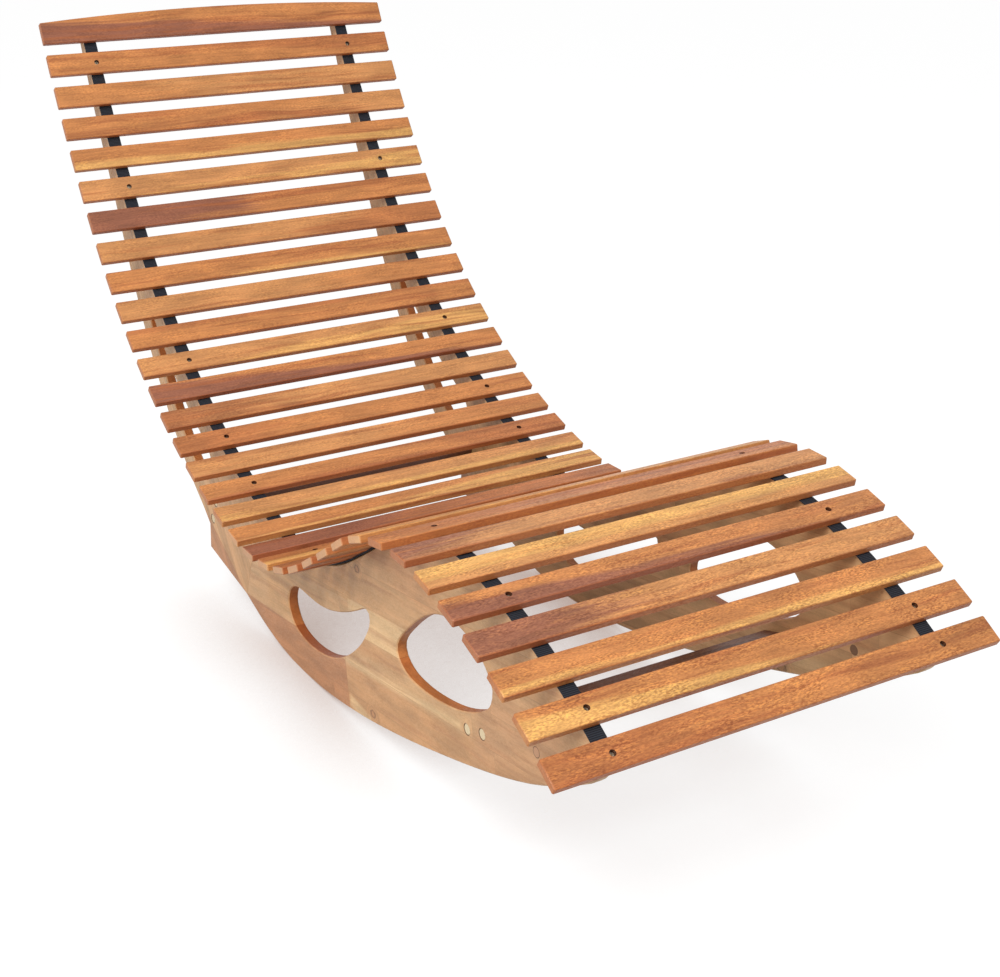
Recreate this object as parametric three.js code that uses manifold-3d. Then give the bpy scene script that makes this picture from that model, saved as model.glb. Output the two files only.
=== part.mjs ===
// Rocking chaise lounge: two shaped side frames carry thirty-five wooden slats on webbing.
// Lengths are in millimetres. X runs across the chaise, its foot end is toward -Y and Z is up.
// The sitter's right hand is at -X. The profile is drawn in a plane of its own, where u runs
// toward the foot, v runs up and the seat line starts at zero, behind the top slat. The
// finished chaise is then tipped back until it stands on the flats of its rockers.
import * as THREE from 'three';
import { mergeVertices } from 'three/addons/utils/BufferGeometryUtils.js';
import Module from 'manifold-3d';

const wasm = await Module();
wasm.setup();

// Fits and fineness
const gap = 0.3; // between two pieces that touch
const overrun = 1; // how far a cutter runs past the face that it opens
const curveSag = 0.25; // how far a drawn curve may stray from the true one
const roundSides = 10; // sides of a small screw, plug or hole

// Slats
const slatCount = 35;
const slatLength = 600;
const slatWidth = 35;
const slatThickness = 10;
const slatPitch = 54; // from slat to slat along the seat line
const slatEdgeRound = 1;
const slatCornerRound = 1.2;
const crestRise = 11; // how far the top slat's upper edge arches up in its middle

// Seat line, the top edge of the side frames: it starts at the top slat, comes down the back,
// sags under the sitter, climbs under the thighs, bends over the knees and falls to the foot.
// It is a chain of arcs, each with its run and the angle that it turns through, in degrees.
const backSteepness = 75.2; // below level, at the top slat
const upperBackRun = 351;
const upperBackTurn = 12;
const lowerBackRun = 594;
const lowerBackTurn = 38.3;
const seatRun = 263;
const seatTurn = 44.2;
const thighRun = 135;
const thighTurn = 3.6;
const kneeRun = 214.6;
const kneeTurn = -46.7;
const calfRun = 276.75;
const calfTurn = -20.5;
const backLength = upperBackRun + lowerBackRun; // where the back ends and the seat begins

// Webbing straps between the frames and the slats
const strapWidth = 20;
const strapThickness = 1.5;
const strapReach = 5; // past the middles of the first and last slats

// Side frames
const frameThickness = 15;
const frameSpacing = 446; // between the middles of the two side frames
const frameEdgeRound = 1.5;

// Back of the side frame: depths are square to the seat line
const backTopDepth = 26;
const backTopReach = 7; // past the middle of the top slat
const backTopRound = 14;
const backFootDepth = 168; // at the notch over the heel
// Rear edge: shares of the way to the front of the heel, and of the growth in depth
const rearEdgeShares = [
  [0.082, 0.04],
  [0.158, 0.085],
  [0.235, 0.13],
  [0.291, 0.172],
  [0.347, 0.238],
  [0.401, 0.315],
  [0.453, 0.397],
  [0.506, 0.485],
  [0.558, 0.579],
  [0.612, 0.672],
  [0.665, 0.761],
  [0.722, 0.846],
  [0.782, 0.92],
  [0.826, 0.962],
];

// Heel, which comes flat to the floor when the chaise is rocked right back
const heelSetback = 60; // from the end of the back up to the front end of the sole
const heelDepth = 180.5; // front end of the sole, below the seat line
const heelLength = 143.5;
const heelNotch = 41;
const heelLean = 7.6; // between the sole and the seat line over its front end, in degrees
const heelCorner = 94; // between the sole and the notch, in degrees

// Mitre where the back of the frame meets its base: it ends at the front of the heel's sole
const mitreSetback = 42; // from the end of the back up to its upper end

// Leaf-shaped opening in the back of the frame
const leafSetback = 343; // from the end of the back up to its middle
const leafDepth = 79.5; // its middle, below the seat line
const leafLength = 277;
const leafWidth = 70;
// Outline: shares of its length along the seat line and of its width across
const leafShares = [
  [-0.5, -0.4],
  [-0.485, -0.28],
  [-0.44, -0.19],
  [-0.37, -0.12],
  [-0.3, -0.045],
  [-0.22, 0.04],
  [-0.135, 0.12],
  [-0.045, 0.22],
  [0.045, 0.305],
  [0.135, 0.38],
  [0.225, 0.45],
  [0.305, 0.495],
  [0.375, 0.49],
  [0.436, 0.42],
  [0.484, 0.25],
  [0.5, 0.015],
  [0.486, -0.22],
  [0.443, -0.37],
  [0.354, -0.43],
  [0.233, -0.425],
  [0.114, -0.4],
  [0, -0.41],
  [-0.147, -0.435],
  [-0.3, -0.465],
  [-0.43, -0.5],
  [-0.475, -0.485],
];

// Rocker, the lower edge of the base. Its straight line runs from the mitre's foot to the
// sharp tip that the rounded nose would have.
const rockerDrop = 93.5; // below its straight line
const noseReach = 19; // from the middle of the last slat to the sharp tip
const noseRound = 45; // from the sharp tip back to the start of the rounding
// Outline: shares of its straight line and of its drop
const rockerShares = [
  [0, 0],
  [0.05, 0.3],
  [0.1, 0.54],
  [0.15, 0.71],
  [0.2, 0.825],
  [0.26, 0.925],
  [0.33, 0.98],
  [0.41, 1],
  [0.51, 0.97],
  [0.61, 0.9],
  [0.7, 0.815],
  [0.77, 0.725],
  [0.84, 0.593],
  [0.9, 0.42],
  [0.93, 0.315],
  [0.958, 0.205],
];
const standLength = 40; // of the flat that the chaise stands on when nobody sits in it
const standShare = 0.195; // place of that flat along the rocker

// Crescent-shaped opening in the base
const crescentPlaceShare = 0.3095; // its middle, along the rocker's straight line
const crescentRise = 15.2; // its middle, above that line
const crescentLength = 271;
const crescentHeight = 95;
// Outline: shares of its length and of its height
const crescentShares = [
  [-0.5, 0.02],
  [-0.484, 0.166],
  [-0.439, 0.301],
  [-0.369, 0.363],
  [-0.297, 0.345],
  [-0.21, 0.295],
  [-0.098, 0.242],
  [0.013, 0.234],
  [0.124, 0.265],
  [0.242, 0.327],
  [0.358, 0.416],
  [0.445, 0.493],
  [0.485, 0.489],
  [0.5, 0.42],
  [0.485, 0.293],
  [0.435, 0.135],
  [0.375, -0.013],
  [0.31, -0.139],
  [0.184, -0.324],
  [0.061, -0.441],
  [-0.059, -0.495],
  [-0.177, -0.497],
  [-0.293, -0.455],
  [-0.407, -0.349],
  [-0.468, -0.22],
];

// Oval opening in the base
const ovalPlaceShare = 0.642; // its middle, along the rocker's straight line
const ovalRise = 42; // its middle, above that line
const ovalLength = 236.5;
const ovalHeight = 111;
// Outline: shares of its length and of its height
const ovalShares = [
  [-0.5, -0.144],
  [-0.488, -0.068],
  [-0.433, 0.043],
  [-0.368, 0.135],
  [-0.241, 0.294],
  [-0.121, 0.412],
  [0.02, 0.495],
  [0.164, 0.494],
  [0.24, 0.455],
  [0.324, 0.374],
  [0.4, 0.261],
  [0.451, 0.144],
  [0.485, 0.027],
  [0.5, -0.08],
  [0.472, -0.225],
  [0.439, -0.3],
  [0.384, -0.36],
  [0.298, -0.419],
  [0.195, -0.467],
  [0.093, -0.493],
  [-0.01, -0.5],
  [-0.113, -0.493],
  [-0.217, -0.473],
  [-0.32, -0.432],
  [-0.403, -0.377],
  [-0.46, -0.299],
  [-0.492, -0.216],
];

// Stretchers, the boards that tie the side frames together
const stretcherWidth = 60;
const stretcherThickness = 15;
const stretcherEdgeRound = 1.5;
const rearStretcherSetback = 180; // from the end of the back
const rearStretcherDepth = 133.5; // below the seat line
const frontStretcherPlaceShare = 0.7086; // along the rocker's straight line
const frontStretcherDrop = 29.6; // below that line
const frontStretcherTilt = 5.8; // from that line, in degrees

// Holes for the screws of the slats: two screws in each slat of this list
const screwedSlats = [
  'slat_02', 'slat_06', 'slat_12', 'slat_15', 'slat_17',
  'slat_21', 'slat_28', 'slat_31', 'slat_34', 'slat_35',
];
const slatHoleDiameter = 4.6;
const slatHoleDepth = 32; // from the slat's face into the side frame
const slatSinkDiameter = 7.6;
const slatSinkDepth = 5.7;

// Screws that hold the side frames to the stretchers, and the caps over their heads
const frameScrewSpacing = 36; // between the two screws of a pair
const frameScrewHead = 11;
const frameScrewHeadHeight = 3;
const frameScrewShank = 6;
const frameScrewLength = 58; // under the head
const capDiameter = 14;
const capThickness = 3;
const capRecess = 0.5; // from the frame's face down to the cap

// Colours
const frameColor = 0xc69b70;
const stretcherColor = 0x6b4433;
const webbingColor = 0x24272d;
const steelColor = 0xa9a7a2;
const capColor = 0xe3cfae;
const woodColors = {
  plum: 0x7d5149,
  umber: 0x8a5a3c,
  russet: 0xa2603c,
  amber: 0xb87440,
  honey: 0xc08550,
  gold: 0xd3a160,
};
const slatWoods = [
  'plum', 'amber', 'gold', 'amber', 'gold', 'gold', 'plum', 'russet', 'gold', 'gold',
  'umber', 'gold', 'umber', 'umber', 'amber', 'umber', 'amber', 'gold', 'gold', 'plum',
  'honey', 'russet', 'honey', 'gold', 'honey', 'umber', 'honey', 'gold', 'honey', 'amber',
  'plum', 'russet', 'amber', 'gold', 'amber',
];

const radians = THREE.MathUtils.degToRad;
const seatBends = [
  { run: upperBackRun, turn: radians(upperBackTurn) },
  { run: lowerBackRun, turn: radians(lowerBackTurn) },
  { run: seatRun, turn: radians(seatTurn) },
  { run: thighRun, turn: radians(thighTurn) },
  { run: kneeRun, turn: radians(kneeTurn) },
  { run: calfRun, turn: radians(calfTurn) },
];
const lastPlace = (slatCount - 1) * slatPitch; // of the last slat, along the seat line
const sides = [
  { name: 'right', sign: -1 },
  { name: 'left', sign: 1 },
];

function woodFinish(color) {
  return new THREE.MeshStandardMaterial({ color, roughness: 0.55, metalness: 0 });
}

function namedMesh(name, geometry, finish) {
  const mesh = new THREE.Mesh(geometry, finish);
  mesh.name = name;
  return mesh;
}

// Cutting solids

function toSolid(geometry) {
  const bare = geometry.clone();
  bare.deleteAttribute('normal');
  bare.deleteAttribute('uv');
  const merged = mergeVertices(bare);
  const vertProperties = new Float32Array(merged.attributes.position.array);
  const triVerts = new Uint32Array(merged.index.array);
  return new wasm.Manifold(new wasm.Mesh({ numProp: 3, vertProperties, triVerts }));
}

function toGeometry(solid) {
  const mesh = solid.getMesh();
  const geometry = new THREE.BufferGeometry();
  geometry.setAttribute('position', new THREE.BufferAttribute(mesh.vertProperties, mesh.numProp));
  geometry.setIndex(new THREE.BufferAttribute(mesh.triVerts, 1));
  const faceted = geometry.toNonIndexed();
  faceted.computeVertexNormals();
  return faceted;
}

function cut(geometry, cutters) {
  let solid = toSolid(geometry);
  for (const cutter of cutters) {
    solid = solid.subtract(toSolid(cutter));
  }
  return toGeometry(solid);
}

// Drawing in the plane of the profile

function stepFrom(point, length, angle) {
  const x = point.x + length * Math.cos(angle);
  const y = point.y + length * Math.sin(angle);
  return new THREE.Vector2(x, y);
}

// A smooth curve through points, open or closed
function splineThrough(points, closed) {
  const spatial = points.map((point) => new THREE.Vector3(point.x, point.y, 0));
  return new THREE.CatmullRomCurve3(spatial, closed, 'centripetal');
}

function closedOutline(points, steps) {
  return splineThrough(points, true).getSpacedPoints(steps).slice(0, -1);
}

// A board cut to an outline, with its edges taken off, centred on its own mid-plane
function board(outline, openings, thickness, edgeRound) {
  const shape = new THREE.Shape(outline);
  shape.holes = openings.map((opening) => new THREE.Path(opening));
  const geometry = new THREE.ExtrudeGeometry(shape, {
    depth: thickness - 2 * edgeRound,
    bevelEnabled: edgeRound > 0,
    bevelThickness: edgeRound,
    bevelSize: edgeRound,
    bevelOffset: -edgeRound,
    bevelSegments: 1,
  });
  return geometry.translate(0, 0, edgeRound - thickness / 2);
}

// Stands the drawing plane upright: u goes to -Y, v to Z and the drawing's own Z to -X
function standUp(geometry) {
  const upright = new THREE.Matrix4().makeBasis(
    new THREE.Vector3(0, -1, 0),
    new THREE.Vector3(0, 0, 1),
    new THREE.Vector3(-1, 0, 0),
  );
  return geometry.applyMatrix4(upright);
}

// A rectangle with cut corners
function rectangle(length, width, corner) {
  const x = length / 2;
  const y = width / 2;
  return [
    new THREE.Vector2(x, -y + corner),
    new THREE.Vector2(x, y - corner),
    new THREE.Vector2(x - corner, y),
    new THREE.Vector2(-x + corner, y),
    new THREE.Vector2(-x, y - corner),
    new THREE.Vector2(-x, -y + corner),
    new THREE.Vector2(-x + corner, -y),
    new THREE.Vector2(x - corner, -y),
  ];
}

// A round bar along Y, from one height to another
function bar(diameter, from, to) {
  const geometry = new THREE.CylinderGeometry(diameter / 2, diameter / 2, to - from, roundSides);
  return geometry.translate(0, (from + to) / 2, 0);
}

// The seat line

// Point and heading at a place, which is a distance along the seat line from the top slat
function seatAt(place) {
  let heading = -radians(backSteepness);
  let left = place;
  const point = new THREE.Vector2();
  for (const bend of seatBends) {
    const isLast = bend === seatBends.at(-1);
    const run = isLast ? left : Math.min(left, bend.run);
    const curvature = bend.turn / bend.run;
    const next = heading + curvature * run;
    point.x += (Math.sin(next) - Math.sin(heading)) / curvature;
    point.y -= (Math.cos(next) - Math.cos(heading)) / curvature;
    heading = next;
    left -= run;
    if (left <= 0) {
      break;
    }
  }
  return { point, heading };
}

// A point below the seat line by a depth that is square to it
function seatPoint(place, depth = 0) {
  const { point, heading } = seatAt(place);
  return stepFrom(point, depth, heading - Math.PI / 2);
}

// The seat line as points from one place to another, as close together as each bend needs
function seatCurve(from, to, depth = 0) {
  const places = [from];
  let start = 0;
  for (const bend of seatBends) {
    const radius = bend.run / Math.abs(bend.turn);
    const steps = Math.ceil(bend.run / Math.sqrt(8 * radius * curveSag));
    const spacing = bend.run / steps;
    for (let step = 0; step < steps; step += 1) {
      const place = start + step * spacing;
      if (place > places.at(-1) + spacing / 4 && place < to - spacing / 4) {
        places.push(place);
      }
    }
    start += bend.run;
  }
  places.push(to);
  return places.map((place) => seatPoint(place, depth));
}

// Height of a slat's underside above the seat line, where it rests on the strap. Where the
// line sags, the slat's two long edges touch first.
function slatRest(place) {
  const { point, heading } = seatAt(place);
  const rises = [-slatWidth / 2, 0, slatWidth / 2].map((offset) => {
    const top = seatPoint(place + offset, -gap - strapThickness).sub(point);
    return top.y * Math.cos(heading) - top.x * Math.sin(heading);
  });
  return Math.max(...rises) + gap + curveSag;
}

// Puts a piece on the seat line; its own X runs across, its Y up the line and its Z outward
function placeOnSeat(object, place, height) {
  const point = seatPoint(place, -height);
  object.position.set(0, -point.x, point.y);
  object.rotation.x = -seatAt(place).heading;
  object.updateMatrix();
  return object;
}

// Slats and the holes for their screws

const frameMiddleX = frameSpacing / 2;

// Takes a hole, drawn down along Y from a slat's face, to its slat and its side
function atSlatScrew(geometry, number, side) {
  const place = (number - 1) * slatPitch;
  const face = placeOnSeat(new THREE.Object3D(), place, slatRest(place) + slatThickness);
  return geometry
    .rotateX(Math.PI / 2)
    .translate(side.sign * frameMiddleX, 0, 0)
    .applyMatrix4(face.matrix);
}

function slatHole(number, side) {
  return atSlatScrew(bar(slatHoleDiameter, -slatHoleDepth, overrun), number, side);
}

function slatSink(number, side) {
  return atSlatScrew(bar(slatSinkDiameter, -slatSinkDepth, overrun), number, side);
}

// The crest is the top slat: its upper edge rises in an arch
function crestOutline() {
  const outline = rectangle(slatLength, slatWidth, slatCornerRound);
  const [archStart, archEnd] = outline.slice(2, 4);
  const peak = new THREE.Vector2(0, slatWidth / 2 + 2 * crestRise);
  const arch = new THREE.QuadraticBezierCurve(archStart, peak, archEnd).getPoints(12);
  return [...outline.slice(0, 2), ...arch, ...outline.slice(4)];
}

function slatName(number) {
  return `slat_${String(number).padStart(2, '0')}`;
}

function makeSlat(number) {
  const isCrest = number === 1;
  const outline = isCrest
    ? crestOutline()
    : rectangle(slatLength, slatWidth, slatCornerRound);
  const plain = board(outline, [], slatThickness, slatEdgeRound);
  const place = (number - 1) * slatPitch;
  const slat = namedMesh(
    slatName(number),
    plain.translate(0, 0, slatThickness / 2),
    woodFinish(woodColors[slatWoods[(number - 1) % slatWoods.length]]),
  );
  placeOnSeat(slat, place, slatRest(place));
  if (screwedSlats.includes(slat.name)) {
    const intoSlat = slat.matrix.clone().invert();
    const holes = sides
      .flatMap((side) => [slatHole(number, side), slatSink(number, side)])
      .map((hole) => hole.applyMatrix4(intoSlat));
    slat.geometry = cut(plain, holes);
  }
  return slat;
}

const slatNumbers = Array.from({ length: slatCount }, (_, index) => index + 1);
const slats = slatNumbers.map(makeSlat);

// The holes that the screwed slats pass on to the strap and the panels of one side
function holesUnderSlats(side) {
  return slatNumbers
    .filter((number) => screwedSlats.includes(slatName(number)))
    .map((number) => slatHole(number, side));
}

// Webbing straps

const webbingFinish = new THREE.MeshStandardMaterial({
  color: webbingColor, roughness: 0.9, metalness: 0,
});

function makeStrap(side) {
  const from = -strapReach;
  const to = lastPlace + strapReach;
  const underside = seatCurve(from, to, -gap);
  const face = seatCurve(from, to, -gap - strapThickness);
  const ribbon = standUp(board([...underside, ...face.reverse()], [], strapWidth, 0));
  return namedMesh(
    `webbing_${side.name}`,
    cut(ribbon.translate(side.sign * frameMiddleX, 0, 0), holesUnderSlats(side)),
    webbingFinish,
  );
}

const straps = sides.map(makeStrap);

// Side frame: its back and base are drawn as one outline

const heelPlace = backLength - heelSetback;
const mitreTop = seatPoint(backLength - mitreSetback);
const mitreFoot = seatPoint(heelPlace, heelDepth);
const mitreAngle = mitreFoot.clone().sub(mitreTop).angle();

function rearEdge() {
  const soleAngle = seatAt(heelPlace).heading + radians(180 + heelLean);
  const corner = stepFrom(mitreFoot, heelLength, soleAngle);
  const notchTop = stepFrom(corner, heelNotch, soleAngle - radians(180 - heelCorner));
  const roundEnd = seatPoint(backTopRound - backTopReach, backTopDepth);
  const growth = backFootDepth - backTopDepth;
  const along = rearEdgeShares.map(([placeShare, depthShare]) => (
    seatPoint(placeShare * heelPlace, backTopDepth + depthShare * growth)
  ));
  const edge = splineThrough([roundEnd, ...along, notchTop], false).getSpacedPoints(24);
  const round = new THREE.QuadraticBezierCurve(
    seatPoint(-backTopReach, backTopDepth - backTopRound),
    seatPoint(-backTopReach, backTopDepth),
    roundEnd,
  ).getPoints(4).slice(0, -1);
  return [...round, ...edge, corner];
}

const noseTip = seatPoint(lastPlace + noseReach);
const rockerLine = noseTip.clone().sub(mitreFoot);
const rockerAngle = rockerLine.angle();

// A point at a share of the rocker's straight line, raised square to it
function rockerPoint(lineShare, rise) {
  const base = mitreFoot.clone().addScaledVector(rockerLine, lineShare);
  return stepFrom(base, rise, rockerAngle + Math.PI / 2);
}

const rockerCurve = splineThrough(
  rockerShares.map(([lineShare, dropShare]) => rockerPoint(lineShare, -dropShare * rockerDrop)),
  false,
);
const standMiddle = rockerCurve.getPointAt(standShare);
const standAngle = Math.atan2(
  rockerCurve.getTangentAt(standShare).y,
  rockerCurve.getTangentAt(standShare).x,
);

// The rocker's edge, with the flat that the chaise stands on
function rockerEdge() {
  const points = rockerCurve.getSpacedPoints(36);
  const clear = (point) => point.distanceTo(standMiddle) > standLength;
  const before = points.filter((point) => clear(point) && point.x < standMiddle.x);
  const after = points.filter((point) => clear(point) && point.x > standMiddle.x);
  const flat = [-standLength / 2, standLength / 2].map((offset) => (
    stepFrom(standMiddle, offset, standAngle)
  ));
  return [...before, ...flat, ...after];
}

function noseEdge(rockerEnd) {
  const seatEnd = seatPoint(lastPlace + noseReach - noseRound);
  return new THREE.QuadraticBezierCurve(rockerEnd, noseTip, seatEnd).getPoints(8).slice(1, -1);
}

function sideOutline() {
  const lower = rockerEdge();
  const upper = seatCurve(-backTopReach, lastPlace + noseReach - noseRound).reverse();
  return [...rearEdge(), ...lower, ...noseEdge(lower.at(-1)), ...upper];
}

// Openings

function leafOpening() {
  const place = backLength - leafSetback;
  const points = leafShares.map(([lengthShare, widthShare]) => (
    seatPoint(place + lengthShare * leafLength, leafDepth + widthShare * leafWidth)
  ));
  return closedOutline(points, 60);
}

function baseOpening(outlineShares, placeShare, rise, length, height, steps) {
  const middle = rockerPoint(placeShare, rise);
  const points = outlineShares.map(([lengthShare, heightShare]) => {
    const along = stepFrom(middle, lengthShare * length, rockerAngle);
    return stepFrom(along, heightShare * height, rockerAngle + Math.PI / 2);
  });
  return closedOutline(points, steps);
}

const openings = [
  leafOpening(),
  baseOpening(
    crescentShares, crescentPlaceShare, crescentRise, crescentLength, crescentHeight, 72,
  ),
  baseOpening(ovalShares, ovalPlaceShare, ovalRise, ovalLength, ovalHeight, 60),
];

// Stretchers, with the screws and caps at their ends

const frameInnerX = (frameSpacing - frameThickness) / 2;
const frameOuterX = (frameSpacing + frameThickness) / 2;
const capInnerX = frameOuterX - capRecess - capThickness;
const frameScrewHeadX = capInnerX - gap - frameScrewHeadHeight; // underside of its head

// A stretcher's own frame: X is its length, Y its width and Z its thickness
function stretcherFrame(middle, angle) {
  const turned = new THREE.Matrix4().makeRotationX(Math.PI - angle);
  return turned.setPosition(0, -middle.x, middle.y);
}

const rearStretcherPlace = backLength - rearStretcherSetback;
const stretcherFrames = {
  rear: stretcherFrame(
    seatPoint(rearStretcherPlace, rearStretcherDepth),
    seatAt(rearStretcherPlace).heading + Math.PI / 2,
  ),
  front: stretcherFrame(
    rockerPoint(frontStretcherPlaceShare, -frontStretcherDrop),
    rockerAngle + radians(frontStretcherTilt),
  ),
};

// The screws of the frame: two at each end of each stretcher
const frameScrewSeats = sides.flatMap((side) => Object.keys(stretcherFrames).flatMap((name) => (
  [-1, 1].map((row, index) => ({ side, name, row, label: `${name}_${side.name}_${index + 1}` }))
)));

// Turns what is drawn along Y to run out across one side, at a screw of the frame
function atFrameScrew(geometry, seat) {
  return geometry
    .rotateZ((-seat.side.sign * Math.PI) / 2)
    .translate(0, (seat.row * frameScrewSpacing) / 2, 0)
    .applyMatrix4(stretcherFrames[seat.name]);
}

function shankHole(seat) {
  const tip = frameScrewHeadX - frameScrewLength - gap;
  return atFrameScrew(bar(frameScrewShank + 2 * gap, tip, frameOuterX), seat);
}

function headHole(seat) {
  return atFrameScrew(bar(frameScrewHead + 2 * gap, frameScrewHeadX - gap, frameOuterX), seat);
}

function capHole(seat) {
  return atFrameScrew(bar(capDiameter + 2 * gap, capInnerX - gap, frameOuterX + overrun), seat);
}

// A screw along Y: the underside of its head is at zero and its tip is below
function frameScrewAlongY() {
  const profile = [
    [0, -frameScrewLength],
    [frameScrewShank / 4, -frameScrewLength],
    [frameScrewShank / 2, -frameScrewLength + frameScrewShank],
    [frameScrewShank / 2, 0],
    [frameScrewHead / 2, 0],
    [frameScrewHead / 2, frameScrewHeadHeight],
    [0, frameScrewHeadHeight],
  ].map(([radius, height]) => new THREE.Vector2(radius, height));
  return new THREE.LatheGeometry(profile, roundSides);
}

const steelFinish = new THREE.MeshStandardMaterial({
  color: steelColor, roughness: 0.35, metalness: 0.9,
});
const frameScrews = frameScrewSeats.map((seat) => namedMesh(
  `frame_screw_${seat.label}`,
  atFrameScrew(frameScrewAlongY().translate(0, frameScrewHeadX, 0), seat),
  steelFinish,
));
const screwCaps = frameScrewSeats.map((seat) => namedMesh(
  `screw_cap_${seat.label}`,
  atFrameScrew(bar(capDiameter, capInnerX, capInnerX + capThickness), seat),
  woodFinish(capColor),
));

function makeStretcher(name) {
  const outline = rectangle(stretcherThickness, stretcherWidth, stretcherEdgeRound);
  const plank = board(outline, [], 2 * (frameInnerX - gap), 0)
    .rotateY(Math.PI / 2)
    .applyMatrix4(stretcherFrames[name]);
  const holes = frameScrewSeats.filter((seat) => seat.name === name).map(shankHole);
  return namedMesh(`stretcher_${name}`, cut(plank, holes), woodFinish(stretcherColor));
}

const stretchers = Object.keys(stretcherFrames).map(makeStretcher);

// Side panels: one board is drawn, drilled and parted at the mitre

// Everything on one side of the mitre; the reach is signed, plus toward the foot
function beyondMitre(from, reach) {
  const half = new THREE.BoxGeometry(Math.abs(reach), 2 * lastPlace, 2 * frameThickness);
  half.translate(reach / 2, 0, 0).rotateZ(mitreAngle + Math.PI / 2);
  const start = stepFrom(mitreTop, from, mitreAngle + Math.PI / 2);
  return half.translate(start.x, start.y, 0);
}

function makePanels(side) {
  const whole = standUp(board(sideOutline(), openings, frameThickness, frameEdgeRound))
    .translate(side.sign * frameMiddleX, 0, 0);
  const seats = frameScrewSeats.filter((seat) => seat.side === side);
  const drilled = cut(whole, [
    ...holesUnderSlats(side),
    ...seats.map(shankHole),
    ...seats.map(headHole),
    ...seats.map(capHole),
  ]);
  const parts = [
    { name: 'back', away: beyondMitre(0, lastPlace) },
    { name: 'base', away: beyondMitre(gap, -lastPlace) },
  ];
  return parts.map(({ name, away }) => namedMesh(
    `${name}_panel_${side.name}`,
    cut(drilled, [standUp(away).translate(side.sign * frameMiddleX, 0, 0)]),
    woodFinish(frameColor),
  ));
}

const panels = sides.flatMap(makePanels);

// The whole chaise, tipped so that the flats of its rockers are level, and set on the floor
const chaise = new THREE.Group();
chaise.add(
  ...panels,
  ...stretchers,
  ...straps,
  ...slats,
  ...frameScrews,
  ...screwCaps,
);
chaise.rotation.x = standAngle;
const extent = new THREE.Box3().setFromObject(chaise, true);
chaise.position.y = -(extent.min.y + extent.max.y) / 2;
chaise.position.z = -extent.min.z;

const assembly = new THREE.Group();
assembly.add(chaise);

export default assembly;
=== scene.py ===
# %% [markdown]
# # A slatted rocking chaise lounge, dressed in Blender
# The chaise is one rigid piece of garden furniture: four side panels of pale acacia, two stretchers
# that tie the sides together, two woven straps and 35 slats in mixed woods that lie across the straps.
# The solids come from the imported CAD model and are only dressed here, so every size and place is theirs.
# This lesson goes from the outside in: the view first, then each wood, then the small fittings.

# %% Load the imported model
import math

import bmesh
import bpy
from mathutils import Matrix, Vector


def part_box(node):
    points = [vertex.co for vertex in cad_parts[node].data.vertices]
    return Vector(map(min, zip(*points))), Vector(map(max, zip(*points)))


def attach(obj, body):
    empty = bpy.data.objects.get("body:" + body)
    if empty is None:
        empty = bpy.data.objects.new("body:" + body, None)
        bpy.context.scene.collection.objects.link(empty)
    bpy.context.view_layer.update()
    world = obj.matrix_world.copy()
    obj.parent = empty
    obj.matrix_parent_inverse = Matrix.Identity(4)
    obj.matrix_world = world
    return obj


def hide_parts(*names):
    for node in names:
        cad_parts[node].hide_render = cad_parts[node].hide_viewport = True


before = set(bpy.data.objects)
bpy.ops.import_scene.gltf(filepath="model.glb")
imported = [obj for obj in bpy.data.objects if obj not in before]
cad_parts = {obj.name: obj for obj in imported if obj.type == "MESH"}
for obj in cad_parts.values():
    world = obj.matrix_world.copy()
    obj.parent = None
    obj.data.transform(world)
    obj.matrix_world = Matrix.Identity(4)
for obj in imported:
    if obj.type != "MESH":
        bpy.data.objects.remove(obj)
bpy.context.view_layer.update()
millimetre = 0.001
print("CAD nodes loaded:", len(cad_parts))

# %% [markdown]
# ## The camera
# The picture was taken from the foot end, to one side and from well above. A long lens keeps the two
# sides nearly parallel. The lens is also shifted down a little, as a view camera's is: turning the camera
# down all the way would make the upright lines lean, and a large shift would spoil views from elsewhere.

# %% Place the camera
camera_place = (-1.0426, -1.9209, 1.1311)
camera_pitch = math.radians(69.46)
camera_heading = math.radians(-30.697)

camera = bpy.data.objects.new("camera", bpy.data.cameras.new("camera"))
camera.location = camera_place
camera.rotation_euler = (camera_pitch, 0.0, camera_heading)
camera.data.sensor_width = 36.0
camera.data.lens = 59.41
camera.data.shift_x = 0.0028
camera.data.shift_y = -0.06
bpy.context.scene.collection.objects.link(camera)
bpy.context.scene.camera = camera
print("Camera stands", round(Vector(camera_place).length, 2), "m from the floor's middle")

# %% [markdown]
# ## Helpers for nodes
# A material in Blender is a small graph. Building one in a script is a long list of "make a node, join
# it up", so a few short helpers say it once. The first makes any node and fills or joins its inputs, and
# the others use it for what comes back most: a sum, a mix of two colours, a smooth step, and a noise that
# is stretched along the grain.

# %% Define the node helpers
def add(tree, kind, inputs=None, **settings):
    """Makes a node, sets its settings, and joins or fills its inputs by name or by number."""
    made = tree.nodes.new(kind)
    for name, value in settings.items():
        setattr(made, name, value)
    for name, value in (inputs or {}).items():
        if isinstance(value, bpy.types.NodeSocket):
            tree.links.new(value, made.inputs[name])
        else:
            made.inputs[name].default_value = value
    return made


def sum_of(tree, operation, *values):
    """One step of arithmetic on values that change over the surface."""
    made = add(tree, "ShaderNodeMath", dict(enumerate(values)), operation=operation)
    return made.outputs[0]


def vector_sum(tree, operation, *values):
    """The same for three numbers at once, such as a place or a direction."""
    made = add(tree, "ShaderNodeVectorMath", dict(enumerate(values)), operation=operation)
    return made.outputs["Value" if operation in ("DOT_PRODUCT", "LENGTH") else "Vector"]


def scaled(tree, vector, factor):
    """A vector or a colour made so many times as large."""
    made = add(tree, "ShaderNodeVectorMath", {0: vector, "Scale": factor}, operation="SCALE")
    return made.outputs["Vector"]


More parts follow.
